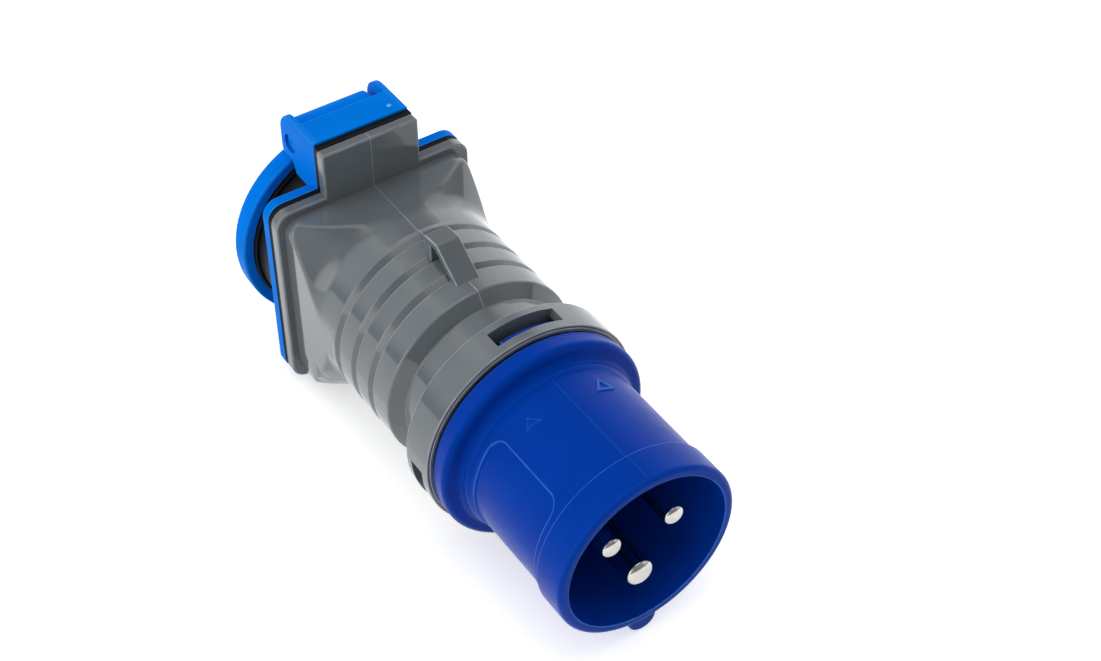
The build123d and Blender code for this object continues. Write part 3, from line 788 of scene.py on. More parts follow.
def dress(data: Mesh, name: str, material: Material, body: Body,
          replaces: Sequence[str] = ()) -> None:
    """Shade a mesh and hang it on its body.

    Args:
        data: the mesh, in place, in metres.
        name: the piece's name.
        material: its finish.
        body: the body that it moves with.
        replaces: CAD nodes that it stands for.
    """
    data.shade_smooth()
    data.set_sharp_from_angle(angle=math.radians(SHARP_ANGLE))
    piece = in_scene(name, data)
    data.materials.clear()
    data.materials.append(material)
    even = piece.modifiers.new("even_normals", "WEIGHTED_NORMAL")
    even.keep_sharp = True
    even.weight = 100
    baked = evaluated_copy(piece)
    piece.modifiers.clear()
    mark_bends(baked)
    piece.data = baked
    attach(piece, body.value)
    if replaces:
        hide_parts(*replaces)
    log.info("%s: %d faces", name, len(baked.polygons))


def mark_bends(data: Mesh) -> None:
    """Store on each face how tightly the skin bends outwards there, in radians a millimetre.

    Args:
        data: the mesh, in metres.
    """
    mesh = bmesh.new()
    mesh.from_mesh(data)
    bends = [0.0] * len(mesh.faces)
    for edge in mesh.edges:
        if len(edge.link_faces) == 2:
            turn = edge.calc_face_angle_signed(0.0)
            for face in edge.link_faces:
                width = face.calc_area() / max(edge.calc_length(), 1e-9) / MM
                bends[face.index] = max(bends[face.index], turn / max(width, 0.01))
    mesh.free()
    layer = data.attributes.new(BEND, "FLOAT", "FACE")
    layer.data.foreach_set("value", bends)


def in_scene(name: str, data: bpy.types.ID) -> Piece:
    """Object that is linked to the scene.

    Args:
        name: the object's name.
        data: its mesh or its camera.

    Returns:
        The object.
    """
    piece = bpy.data.objects.new(name, data)
    bpy.context.scene.collection.objects.link(piece)
    return piece


def evaluated_copy(piece: Piece) -> Mesh:
    """Plain mesh of an object with its modifiers applied.

    Args:
        piece: the object.

    Returns:
        The mesh.
    """
    graph = bpy.context.evaluated_depsgraph_get()
    graph.update()
    return bpy.data.meshes.new_from_object(piece.evaluated_get(graph), preserve_all_data_layers=True,
                                           depsgraph=graph)


# Geometry node trees

def size_tree(name: str, sizes: Sequence[str]) -> tuple[Tree, Node]:
    """Start a geometry node tree with a mesh, named sizes and a material as its inputs.

    Args:
        name: the tree's name.
        sizes: names of its size inputs.

    Returns:
        The tree and its input node.
    """
    tree = bpy.data.node_groups.new(name, "GeometryNodeTree")
    tree.interface.new_socket("Mesh", in_out="INPUT", socket_type="NodeSocketGeometry")
    for size in sizes:
        tree.interface.new_socket(size, in_out="INPUT", socket_type="NodeSocketFloat")
    tree.interface.new_socket("Material", in_out="INPUT", socket_type="NodeSocketMaterial")
    tree.interface.new_socket("Mesh", in_out="OUTPUT", socket_type="NodeSocketGeometry")
    return tree, tree.nodes.new("NodeGroupInput")


def end_tree(tree: Tree, start: Node, copies: Socket) -> None:
    """End a tree in Realize Instances and Set Material.

    Args:
        tree: the tree.
        start: its input node.
        copies: the instances.
    """
    real = add_node(tree, "GeometryNodeRealizeInstances", inputs={"Geometry": copies})
    coated = add_node(tree, "GeometryNodeSetMaterial", inputs={
        "Geometry": real.outputs["Geometry"], "Material": start.outputs["Material"]})
    add_node(tree, "NodeGroupOutput", inputs={"Mesh": coated.outputs["Geometry"]})


def grown(base: Mesh, tree: Tree, sizes: dict[str, float], material: Material) -> Mesh:
    """Plain mesh that a tree makes from a base mesh.

    Args:
        base: points or a mesh, in metres.
        tree: the geometry node tree.
        sizes: input name to millimetres, or to degrees where the name says turn.
        material: material of the result.

    Returns:
        The mesh.
    """
    seed = in_scene(tree.name, base)
    modifier = seed.modifiers.new("grow", "NODES")
    modifier.node_group = tree
    for item in tree.interface.items_tree:
        if item.in_out == "INPUT" and item.name in sizes:
            unit = math.radians(1) if "Turn" in item.name else MM
            modifier[item.identifier] = sizes[item.name] * unit
        if item.in_out == "INPUT" and item.name == "Material":
            modifier[item.identifier] = material
    data = evaluated_copy(seed)
    bpy.data.objects.remove(seed)
    return data


@dataclass(frozen=True)
class ScrewTree:
    """Countersunk screws with crossed slots, one on each point, their heads towards +Y.

    Attributes:
        name: the tree's name.
        seed: seed of the turn that each screw is left at.
    """

    name: str = "countersunk_screws"
    seed: int = 4

    def build(self) -> Tree:
        """Build the tree.

        Returns:
            The tree.
        """
        tree, start = size_tree(self.name, (
            "Head Radius", "Head Depth", "Shank Radius", "Shank Length", "Slot Reach", "Slot Width",
            "Slot Depth"))
        size = start.outputs
        head = add_node(tree, "GeometryNodeMeshCone", inputs={
            "Vertices": 48, "Radius Top": size["Head Radius"], "Radius Bottom": size["Shank Radius"],
            "Depth": size["Head Depth"]})
        slots = [self.slot(tree, size, along) for along in (True, False)]
        cut = add_node(tree, "GeometryNodeMeshBoolean", {"operation": "DIFFERENCE"},
                       {"Mesh 1": head.outputs["Mesh"]})
        for slot in slots:
            tree.links.new(slot, cut.inputs["Mesh 2"])
        shank = add_node(tree, "GeometryNodeMeshCylinder", inputs={
            "Vertices": 32, "Radius": size["Shank Radius"], "Depth": size["Shank Length"]})
        drop = vector(tree, Z=computed(tree, "MULTIPLY", size["Shank Length"], -0.5))
        low = add_node(tree, "GeometryNodeTransform", inputs={
            "Geometry": shank.outputs["Mesh"], "Translation": drop})
        screw = add_node(tree, "GeometryNodeJoinGeometry")
        for part in (low.outputs["Geometry"], cut.outputs["Mesh"]):
            tree.links.new(part, screw.inputs["Geometry"])
        spin = add_node(tree, "FunctionNodeRandomValue", {"data_type": "FLOAT"},
                        {2: 0.0, 3: math.pi / 2, "Seed": self.seed})
        facing = add_node(tree, "GeometryNodeInstanceOnPoints", inputs={
            "Points": size["Mesh"], "Instance": screw.outputs["Geometry"],
            "Rotation": (-math.pi / 2, 0.0, 0.0)})
        turned = add_node(tree, "GeometryNodeRotateInstances", inputs={
            "Instances": facing.outputs["Instances"], "Rotation": vector(tree, Z=spin.outputs[1]),
            "Local Space": True})
        end_tree(tree, start, turned.outputs["Instances"])
        return tree

    def slot(self, tree: Tree, size: bpy.types.NodeOutputs, along: bool) -> Socket:
        """One arm of the crossed slot.

        Args:
            tree: the tree.
            size: the size inputs.
            along: whether it lies along X.

        Returns:
            The box that cuts it.
        """
        reach = computed(tree, "MULTIPLY", size["Slot Reach"], 2.0)
        depth = computed(tree, "MULTIPLY", size["Slot Depth"], 2.0)
        first, second = (reach, size["Slot Width"]) if along else (size["Slot Width"], reach)
        box = add_node(tree, "GeometryNodeMeshCube", inputs={
            "Size": vector(tree, X=first, Y=second, Z=depth)})
        raised = add_node(tree, "GeometryNodeTransform", inputs={
            "Geometry": box.outputs["Mesh"], "Translation": vector(tree, Z=size["Head Depth"])})
        return raised.outputs["Geometry"]


@dataclass(frozen=True)
class RingTree:
    """Copies of one catch, turned about the main axis.

    Attributes:
        count: how many copies it makes.
        name: the tree's name.
    """

    count: int
    name: str = "catches_round_the_skirt"

    def turns(self) -> list[str]:
        """Names of the turn inputs."""
        return [f"Turn {k + 1}" for k in range(self.count)]

    def build(self) -> Tree:
        """Build the tree.

        Returns:
            The tree.
        """
        tree, start = size_tree(self.name, self.turns())
        points = add_node(tree, "GeometryNodePoints", inputs={"Count": self.count})
        index = add_node(tree, "GeometryNodeInputIndex")
        choice = add_node(tree, "GeometryNodeIndexSwitch", {"data_type": "FLOAT"},
                          {"Index": index.outputs["Index"]})
        while len(choice.index_switch_items) < self.count:
            choice.index_switch_items.new()
        for k, name in enumerate(self.turns()):
            tree.links.new(start.outputs[name], choice.inputs[k + 1])
        copies = add_node(tree, "GeometryNodeInstanceOnPoints", inputs={
            "Points": points.outputs[0], "Instance": start.outputs["Mesh"],
            "Rotation": vector(tree, Y=choice.outputs[0])})
        end_tree(tree, start, copies.outputs["Instances"])
        return tree


# Blue plug front

@dataclass
class PlugFront:
    """Blue sleeve with its flange, the pins, their carrier and the ring seal.

    Attributes:
        finishes: the finishes of the plug.
        well_radius, well_depth: bore of the well and station of its floor.
        tube_radius: outside of the sleeve.
        band_radius, band_end: outside and end of the thicker band at the rim.
        hub_start: station of the ridge before the flange.
        flange_front, flange_radius, flange_rear: ends and outside of the flange.
        skirt_radius, skirt_rear: outside and end of the skirt inside the collar.
        label_start, label_end, label_half, label_depth: ends, half height and depth of the label field.
        key_half, key_bottom, key_start, key_end: half width, lower face and ends of the key.
        catch_half: half of the angle of a catch, in degrees.
        pin_circle: radius of the circle that the pins stand on.
        pin_recess, pin_end: stations of the pins' tips and of their rear ends.
    """

    finishes: Finishes
    well_radius: float = 20.0
    tube_radius: float = 21.7
    band_radius: float = 22.35
    band_end: float = 8.5
    hub_start: float = 34.8
    flange_front: float = 37.6
    flange_radius: float = 26.3
    flange_rear: float = 43.2
    skirt_radius: float = 24.35
    skirt_rear: float = 48.6
    well_depth: float = 38.5
    label_start: float = 10.6
    label_end: float = 33.1
    label_half: float = 15.3
    label_depth: float = 0.4
    key_half: float = 3.5
    key_bottom: float = 26.2
    key_start: float = 0.8
    key_end: float = 30.0
    catch_half: float = 15.0
    pin_circle: float = 9.17
    pin_recess: float = 1.2
    pin_end: float = 59.2

    def build(self) -> None:
        """Build every piece of the plug front."""
        self.sleeve()
        self.catches()
        self.carrier()
        self.pins()
        self.front_seal()

    def profile(self) -> Points:
        """Closed section of the sleeve.

        Returns:
            (radius, station) points.
        """
        hub = self.tube_radius + 0.6
        ledge = self.well_depth + 1.5
        pocket = ledge + 4.0
        lip = self.well_radius - 2.4
        skirt_bore = self.skirt_radius - 2.3
        return rounded([
            (self.well_radius, 0.0, 0.22),
            (self.band_radius, 0.0, 1.2),
            (self.band_radius, self.band_end, 0.35),
            (self.tube_radius, self.band_end, 0.1),
            (self.tube_radius, self.hub_start - 0.4, 0.6),
            (hub, self.hub_start + 0.8, 1.4),
            (hub, self.flange_front, 1.4),
            (self.flange_radius, self.flange_front + 0.5, 1.5),
            (self.flange_radius - 0.4, self.flange_rear, 1.0),
            (self.skirt_radius, self.flange_rear),
            (self.skirt_radius, self.skirt_rear, 0.5),
            (skirt_bore, self.skirt_rear),
            (skirt_bore, pocket),
            (self.well_radius, pocket),
            (self.well_radius, ledge),
            (lip, ledge),
            (lip, self.well_depth, 0.4),
            (self.well_radius, self.well_depth),
        ])

    def label_drop(self, station: float, angle: float) -> float:
        """Depth of the label field at a place on the sleeve.

        Args:
            station: place along the axis.
            angle: angle from +Z towards +X, in radians.

        Returns:
            How far the surface lies under the sleeve's radius.
        """
        corner, slope = 3.0, 0.15
        side = self.tube_radius * math.sin(angle)
        height = self.tube_radius * math.cos(angle)
        if side > 0:
            return 0.0
        middle = (self.label_start + self.label_end) / 2
        a = abs(station - middle) - (self.label_end - self.label_start) / 2 + corner
        b = abs(height) - self.label_half + corner
        outside = math.hypot(max(a, 0.0), max(b, 0.0)) + min(max(a, b), 0.0) - corner
        share = min(max((slope - outside) / (2 * slope), 0.0), 1.0)
        return self.label_depth * share * share * (3 - 2 * share)

    def sleeve_angles(self) -> list[float]:
        """Angles of the sleeve's columns, close together where the label field ends.

        Returns:
            Angles in radians, in order.
        """
        coarse, fine = 1.5, 0.35
        edge = math.degrees(math.acos(self.label_half / self.tube_radius))
        angles = [float(k) * coarse for k in range(240)]
        for side in (-edge, edge - 180.0):
            inward = -1 if side == -edge else 1
            angles += [(side + inward * k * fine) % 360 for k in range(-4, 26)]
        return [math.radians(a) for a in sorted(set(round(a, 3) for a in angles))]

    def sleeve_rows(self) -> Points:
        """Section of the sleeve with extra stations where the label field starts and ends.

        Returns:
            (radius, station) points.
        """
        margin, step, count = 0.4, 0.2, 20
        rows: Points = []
        for radius, station in self.profile():
            if rows and abs(radius - self.tube_radius) < SAME and abs(rows[-1][0] - radius) < SAME:
                extra = [self.label_start - margin + k * step for k in range(count)]
                extra += [self.label_end + margin - k * step for k in reversed(range(count))]
                rows += [(radius, s) for s in extra if rows[-1][1] < s < station]
            rows.append((radius, station))
        return rows

    def sleeve(self) -> None:
        """Sleeve with flange, skirt, label field, key and two bare direction marks."""
        shells = Shells()
        angles = self.sleeve_angles()
        place = about_y()
        rows = []
        for radius, station in self.sleeve_rows():
            outer = abs(radius - self.tube_radius) < SAME
            rows.append([place(radius - (self.label_drop(station, a) if outer else 0.0), station, a)
                         for a in angles])
        shells.grid(rows)
        self.key(shells)
        self.direction_mark(shells, ((22.9, 31.4), (15.9, 27.6), (28.6, 27.5)), 0.4, frame=1.0)
        self.direction_mark(shells, ((-26.7, 31.2), (-32.4, 28.1), (-20.3, 27.8)), 0.05)
        shells.finish("plug_sleeve_moulding", self.finishes.blue_front, Body.PLUG,
                      ["plug_sleeve"])

    def key(self, shells: Shells) -> None:
        """Key under the rim that sets which way up the plug goes in.

        Args:
            shells: what it is added to.
        """
        outline = rounded([
            (-self.key_half, -self.tube_radius + 0.9),
            (-self.key_half, -self.key_bottom, self.key_half - 0.1),
            (self.key_half, -self.key_bottom, self.key_half - 0.1),
            (self.key_half, -self.tube_radius + 0.9),
        ])
        shells.prism(outline, along_y, self.key_start, self.key_end, 0.5, 0.5)

    def catches(self) -> None:
        """Catches of the skirt that show through the windows of the collar."""
        window = self.flange_rear + 2.8
        root = self.skirt_radius - 1.0
        crest = self.skirt_radius + 0.63
        profile = rounded([
            (root, window + 0.5),
            (self.skirt_radius, window + 0.5),
            (crest, window + 1.1, 0.7),
            (crest, window + 2.6, 0.7),
            (root, window + 2.9),
        ])
        shells = Shells()
        shells.sector(profile, about_y(), -self.catch_half, self.catch_half)
        tree = RingTree(len(CATCH_ANGLES))
        turns = dict(zip(tree.turns(), CATCH_ANGLES))
        data = grown(shells.plain("catch"), tree.build(), turns, self.finishes.blue_front)
        dress(data, "skirt_catches", self.finishes.blue_front, Body.PLUG)

    def direction_mark(self, shells: Shells, corners: Outline, lift: float,
                       frame: float | None = None) -> None:
        """Raised triangle on the sleeve.

        Args:
            shells: what it is added to.
            corners: (angle in degrees, station) of each corner.
            lift: height over the sleeve.
            frame: width of the raised outline, or nothing for a full triangle.
        """
        parts, sunk = 8, 0.05
        frame_bevel, full_bevel = 0.12, 0.6
        bevel = frame_bevel if frame else full_bevel
        flat = [Vector((math.radians(a) * self.tube_radius, s)) for a, s in corners]
        centre = sum(flat, Vector((0.0, 0.0))) / 3
        reach = sum((p - centre).length for p in flat) / 3
        low, high = self.tube_radius - sunk, self.tube_radius + lift
        if frame:
            steps = [(0.0, low), (0.0, high - bevel), (bevel, high)]
            steps += [(frame - bevel, high), (frame, high - bevel), (frame, low)]
        else:
            # Its slope runs on under the skin, so that no edge there gets the painted edge highlight.
            steps = [(-1.0, low - (high - low) / bevel), (0.0, low), (bevel, high)]
            steps += [(reach * k / 4, high) for k in (2, 3)] + [(reach - 0.02, high)]
        place = about_y()
        rows = []
        for inset, radius in steps:
            ring = [centre.lerp(p, 1 - inset / reach) for p in flat]
            edge = [ring[k].lerp(ring[(k + 1) % 3], t / parts) for k in range(3) for t in range(parts)]
            rows.append([place(radius, p.y, p.x / self.tube_radius) for p in edge])
        shells.grid(rows)

    def carrier(self) -> None:
        """Block at the bottom of the well that holds the pins."""
        shells = Shells()
        face = self.well_radius - 2.5
        rim = self.well_radius - 0.1
        core = self.well_radius - 3.0
        ledge = self.well_depth + 1.55
        shoulder = self.well_depth + 5.5
        rear = self.well_depth + 13.5
        profile = rounded([
            (2 * NEAR_AXIS, self.well_depth),
            (face, self.well_depth, 0.2),
            (face, ledge),
            (rim, ledge),
            (rim, shoulder),
            (core, shoulder),
            (core, rear, 0.8),
            (2 * NEAR_AXIS, rear),
        ])
        shells.turned(profile, about_y(), 96)
        shells.finish("pin_carrier_moulding", self.finishes.blue_inner, Body.PLUG,
                      ["pin_carrier"])

    def pin_places(self) -> dict[str, tuple[float, float, float]]:
        """Radius, x and z of each pin.

        Returns:
            Node name to (radius, x, z).
        """
        side = self.pin_circle * math.sin(math.radians(60))
        up = self.pin_circle * math.cos(math.radians(60))
        return {
            "line_pin": (2.5, side, up),
            "neutral_pin": (2.5, -side, up),
            "earth_pin": (3.5, 0.0, -self.pin_circle),
        }

    def pins(self) -> None:
        """Three turned and plated contact pins, each with a bore for its wire."""
        turns, flatness = spaced(0.0, math.pi / 2, 16), 0.5
        step = self.well_depth - 0.6
        bore = 1.1
        bore_floor = self.pin_end - 7.0
        for name, (radius, x, z) in self.pin_places().items():
            shells = Shells()
            dome = [(max(radius * math.sin(t), NEAR_AXIS),
                     self.pin_recess + radius * flatness * (1 - math.cos(t))) for t in turns]
            shank = radius - 0.25
            profile = dome + rounded([
                (radius, step),
                (shank, step),
                (shank, self.pin_end, 0.2),
                (bore, self.pin_end),
                (bore, bore_floor),
                (NEAR_AXIS, bore_floor),
            ], closed=False)
            shells.turned(profile, about_y(x, z), 72)
            shells.finish(name + "_turned", self.finishes.nickel, Body.PLUG, [name])

    def front_seal(self) -> None:
        """Ring between the flange and the collar's mouth."""
        shells = Shells()
        inner, outer = self.skirt_radius + 0.05, self.skirt_radius + 1.0
        start, end = self.flange_rear + 0.05, self.flange_rear + 1.8
        shells.turned(rounded([(inner, start, 0.2), (outer, start, 0.2), (outer, end, 0.2),
                               (inner, end, 0.2)]), about_y(), 180)
        shells.finish("front_seal_ring", self.finishes.rubber, Body.PLUG, ["front_seal"])


# Grey housing

@dataclass
class Housing:
    """Grey housing from the windowed collar to the square flange and its tower.

    Attributes:
        finishes: the finishes of the plug.
        collar_front, collar_rear, collar_radius, collar_bore: ends, outside and inside of the collar.
        window_half: half of the angle of a window, in degrees.
        window_front, window_rear: ends of the windows.
        neck_radius, neck_end: outside of the neck and station where it starts to widen.
        body_radius, land_start: outside and start of the grooved barrel.
        first_groove, groove_pitch, groove_count, groove_depth: the grooves round it.
        square_start, square_half, square_corner: start, half width and corners of the square end.
        taper_angle: slope in degrees of the cone that trims those corners.
        upper_taper, lower_taper: station and blend of the cone above and below the axis.
        flange_front, flange_rear: ends of the square flange.
        tower_half, tower_top: half width and height of the tower.
        wall: thickness of the wall.
        seal_step, seal_depth: height and depth of the room for the seal in the collar's mouth.
    """

    finishes: Finishes
    collar_front: float = 43.7
    collar_rear: float = 52.3
    collar_radius: float = 26.95
    collar_bore: float = 24.85
    window_half: float = 18.0
    window_front: float = 46.0
    window_rear: float = 50.3
    neck_radius: float = 21.2
    neck_end: float = 61.9
    body_radius: float = 24.4
    land_start: float = 64.4
    first_groove: float = 71.7
    groove_pitch: float = 7.4
    groove_count: int = 3
    groove_depth: float = 0.8
    square_start: float = 88.9
    square_half: float = 23.8
    square_corner: float = 3.5
    taper_angle: float = 40.0
    upper_taper: tuple[float, float] = (96.7, 8.0)
    lower_taper: tuple[float, float] = (93.2, 1.5)
    flange_front: float = 108.8
    flange_rear: float = 111.3
    tower_half: float = 12.6
    tower_top: float = 37.6
    wall: float = 2.2
    seal_step: float = 0.55
    seal_depth: float = 1.35

    def build(self) -> None:
        """Build the housing as one moulding."""
        shells = Shells()
        self.body(shells)
        self.flange(shells)
        self.strap(shells)
        shells.finish("housing_moulding", self.finishes.grey, Body.PLUG, ["housing"])

    def outer_profile(self) -> Points:
        """Turned outside from the collar's mouth to the square end.

        Returns:
            (radius, station) points.
        """
        lip = self.collar_front + 0.12
        points: list[Corner] = [
            (self.collar_bore + self.seal_step, self.collar_front),
            (self.collar_radius - 0.85, self.collar_front),
            (self.collar_radius - 0.75, lip),
            (self.collar_radius, lip, 0.3),
            (self.collar_radius, self.window_front),
            (self.collar_radius, self.window_rear),
            (self.collar_radius, self.collar_rear, 0.3),
            (self.neck_radius, self.collar_rear, 1.0),
            (self.neck_radius, self.neck_end, 0.6),
            (self.body_radius, self.land_start, 0.8),
        ]
        floor = self.body_radius - self.groove_depth
        for index in range(self.groove_count):
            groove = self.first_groove + index * self.groove_pitch
            points += [
                (self.body_radius, groove - 1.0, 0.25),
                (floor, groove - 0.7, 0.1),
                (floor, groove - 0.2, 0.1),
                (self.body_radius, groove + 1.3, 0.8),
            ]
        points.append((self.body_radius, self.square_start))
        return rounded(points, closed=False)

    def inner_profile(self) -> Points:
        """Turned hollow from the square end back to the collar's mouth.

        Returns:
            (radius, station) points.
        """
        body = self.body_radius - self.wall
        neck = self.neck_radius - self.wall
        return [
            (body, self.square_start),
            (body, self.land_start + 0.8),
            (neck, self.neck_end + 0.8),
            (neck, self.window_rear),
            (self.collar_bore, self.window_rear),
            (self.collar_bore, self.window_front),
            (self.collar_bore, self.collar_front + self.seal_depth),
            (self.collar_bore + self.seal_step, self.collar_front + self.seal_depth),
        ]

    def taper_radius(self, station: float, start: float, blend: float) -> float:
        """Radius of the cone that trims the corners, with its blend into the round body.

        Args:
            station: place along the axis.
            start: where cone and body would meet without the blend.
            blend: radius of the blend.

        Returns:
            The radius there.
        """
        angle = math.radians(self.taper_angle)
        first = start - blend * math.tan(angle / 2)
        last = first + blend * math.sin(angle)
        if station <= first:
            return self.body_radius
        if station < last:
            return self.body_radius + blend - math.sqrt(blend ** 2 - (station - first) ** 2)
        return self.body_radius + (station - start) * math.tan(angle)

    def square_row(self, station: float, angles: Sequence[float], inset: float) -> list[Vector]:
        """Ring of the round to square end at one station.

        Args:
            station: place along the axis.
            angles: angles of the columns in radians.
            inset: how far the ring lies under the outer skin.

        Returns:
            The ring's points.
        """
        soft = 0.5
        row = []
        for angle in angles:
            start, blend = self.upper_taper if math.cos(angle) > 0 else self.lower_taper
            cone = self.taper_radius(station, start, blend) - inset
            square = square_reach(angle, self.square_half - inset, self.square_corner - inset / 2)
            gap = max(soft - abs(cone - square), 0.0) / soft
            radius = min(cone, square) - gap * gap * soft / 4
            row.append(about_y()(radius, station, angle))
        return row

    def columns(self) -> list[float]:
        """Angles of the columns, with one at each side of each window.

        No other column is near those, since a narrow face at a sharp edge would get the painted edge
        highlight.

        Returns:
            Angles in radians, in order.
        """
        clear = 5.6
        edges = [(m + s * self.window_half) % 360 for m in CATCH_ANGLES for s in (-1, 1)]
        plain = [float(k) for k in range(360)
                 if min(abs((k - e + 180) % 360 - 180) for e in edges) > clear]
        return [math.radians(a) for a in sorted(plain + edges)]

    def in_window(self, angle: float) -> bool:
        """Whether an angle in radians lies in a window."""
        turn = math.degrees(angle)
        return any(abs((turn - m + 180) % 360 - 180) < self.window_half for m in CATCH_ANGLES)

    def body(self, shells: Shells) -> None:
        """Collar, neck, grooved barrel and square end, with the hollow inside them.

        Args:
            shells: what they are added to.
        """
        angles = self.columns()
        place = about_y()
        outer = self.outer_profile()
        inner = self.inner_profile()
        steps, inner_stride, gap = 48, 3, 0.02
        span = self.flange_rear - self.square_start
        stations = spaced(self.square_start + gap, span, steps)[:-1] + [self.flange_rear]
        rows = [[place(r, s, a) for a in angles] for r, s in outer]
        rows += [self.square_row(s, angles, 0.0) for s in stations]
        rows += [self.square_row(s, angles, self.wall) for s in reversed(stations[::inner_stride])]
        first_inner = len(rows)
        rows += [[place(r, s, a) for a in angles] for r, s in inner]
        outer_front = row_at(outer, self.collar_radius, self.window_front)
        outer_rear = row_at(outer, self.collar_radius, self.window_rear)
        inner_rear = first_inner + row_at(inner, self.collar_bore, self.window_rear)
        inner_front = first_inner + row_at(inner, self.collar_bore, self.window_front)
        after = angles[1:] + [angles[0] + 2 * math.pi]
        open_columns = [self.in_window((a + b) / 2) for a, b in zip(angles, after)]
        window_rows = [*range(outer_front, outer_rear), *range(inner_rear, inner_front)]
        left_out = {(i, j) for i in window_rows for j, opened in enumerate(open_columns) if opened}
        verts = shells.grid(rows, left_out)
        self.window_walls(shells, verts, open_columns,
                          (outer_front, outer_rear, inner_rear, inner_front))

    def window_walls(self, shells: Shells, verts: list[list[Vert]],
                     open_columns: list[bool], rows: tuple[int, int, int, int]) -> None:
        """Close the thickness of the collar round each window.

        Args:
            shells: what the walls are added to.
            verts: vertices of the body's grid.
            open_columns: which columns are open.
            rows: outer front, outer rear, inner rear and inner front rows of the windows.
        """
        outer_front, outer_rear, inner_rear, inner_front = rows
        width = len(open_columns)
        for j in range(width):
            after = (j + 1) % width
            if open_columns[j]:
                for outer, inner in ((outer_front, inner_front), (outer_rear, inner_rear)):
                    shells.mesh.faces.new((verts[outer][j], verts[outer][after], verts[inner][after],
                                           verts[inner][j]))
            if open_columns[j] != open_columns[after]:
                shells.mesh.faces.new([verts[row][after] for row in rows])

    def flange(self, shells: Shells) -> None:
        """Square flange with the tower that backs the hinge.

        Args:
            shells: what it is added to.
        """
        half, corner, tower = PLATE_HALF, PLATE_CORNER, self.tower_half
        outline = rounded([
            (-half, -half, corner), (half, -half, corner), (half, half, corner),
            (tower, half), (tower, self.tower_top, 0.7), (-tower, self.tower_top, 0.7),
            (-tower, half), (-half, half, corner),
        ])
        mouth = circle(0.0, 0.0, self.square_half - self.wall, 180)
        shells.prism(outline, along_y, self.flange_front, self.flange_rear, 0.5, 0.12,
                     [((mouth, self.flange_front), (mouth, self.flange_rear))])

    def strap(self, shells: Shells) -> None:
        """Lanyard strap over the grooves.

        Args:
            shells: what it is added to.
        """
        foot = self.body_radius - self.groove_depth - 0.4
        front = self.first_groove - 3.5
        bend = self.first_groove + 4.7
        rear = bend + 5.2
        top = self.body_radius + 5.9
        under = top - 1.8
        outline = rounded([
            (front, foot), (front, self.body_radius - 0.1), (bend, top, 1.0), (rear, top - 0.5, 0.5),
            (rear, foot), (rear - 2.6, foot), (rear - 2.6, under, 0.3), (bend + 0.6, under, 0.6),
            (front + 2.0, self.body_radius - 0.9), (front + 1.9, foot),
        ])
        shells.prism(outline, along_x, -3.0, 3.0, 0.3, 0.3)


# Blue face plate and hinge

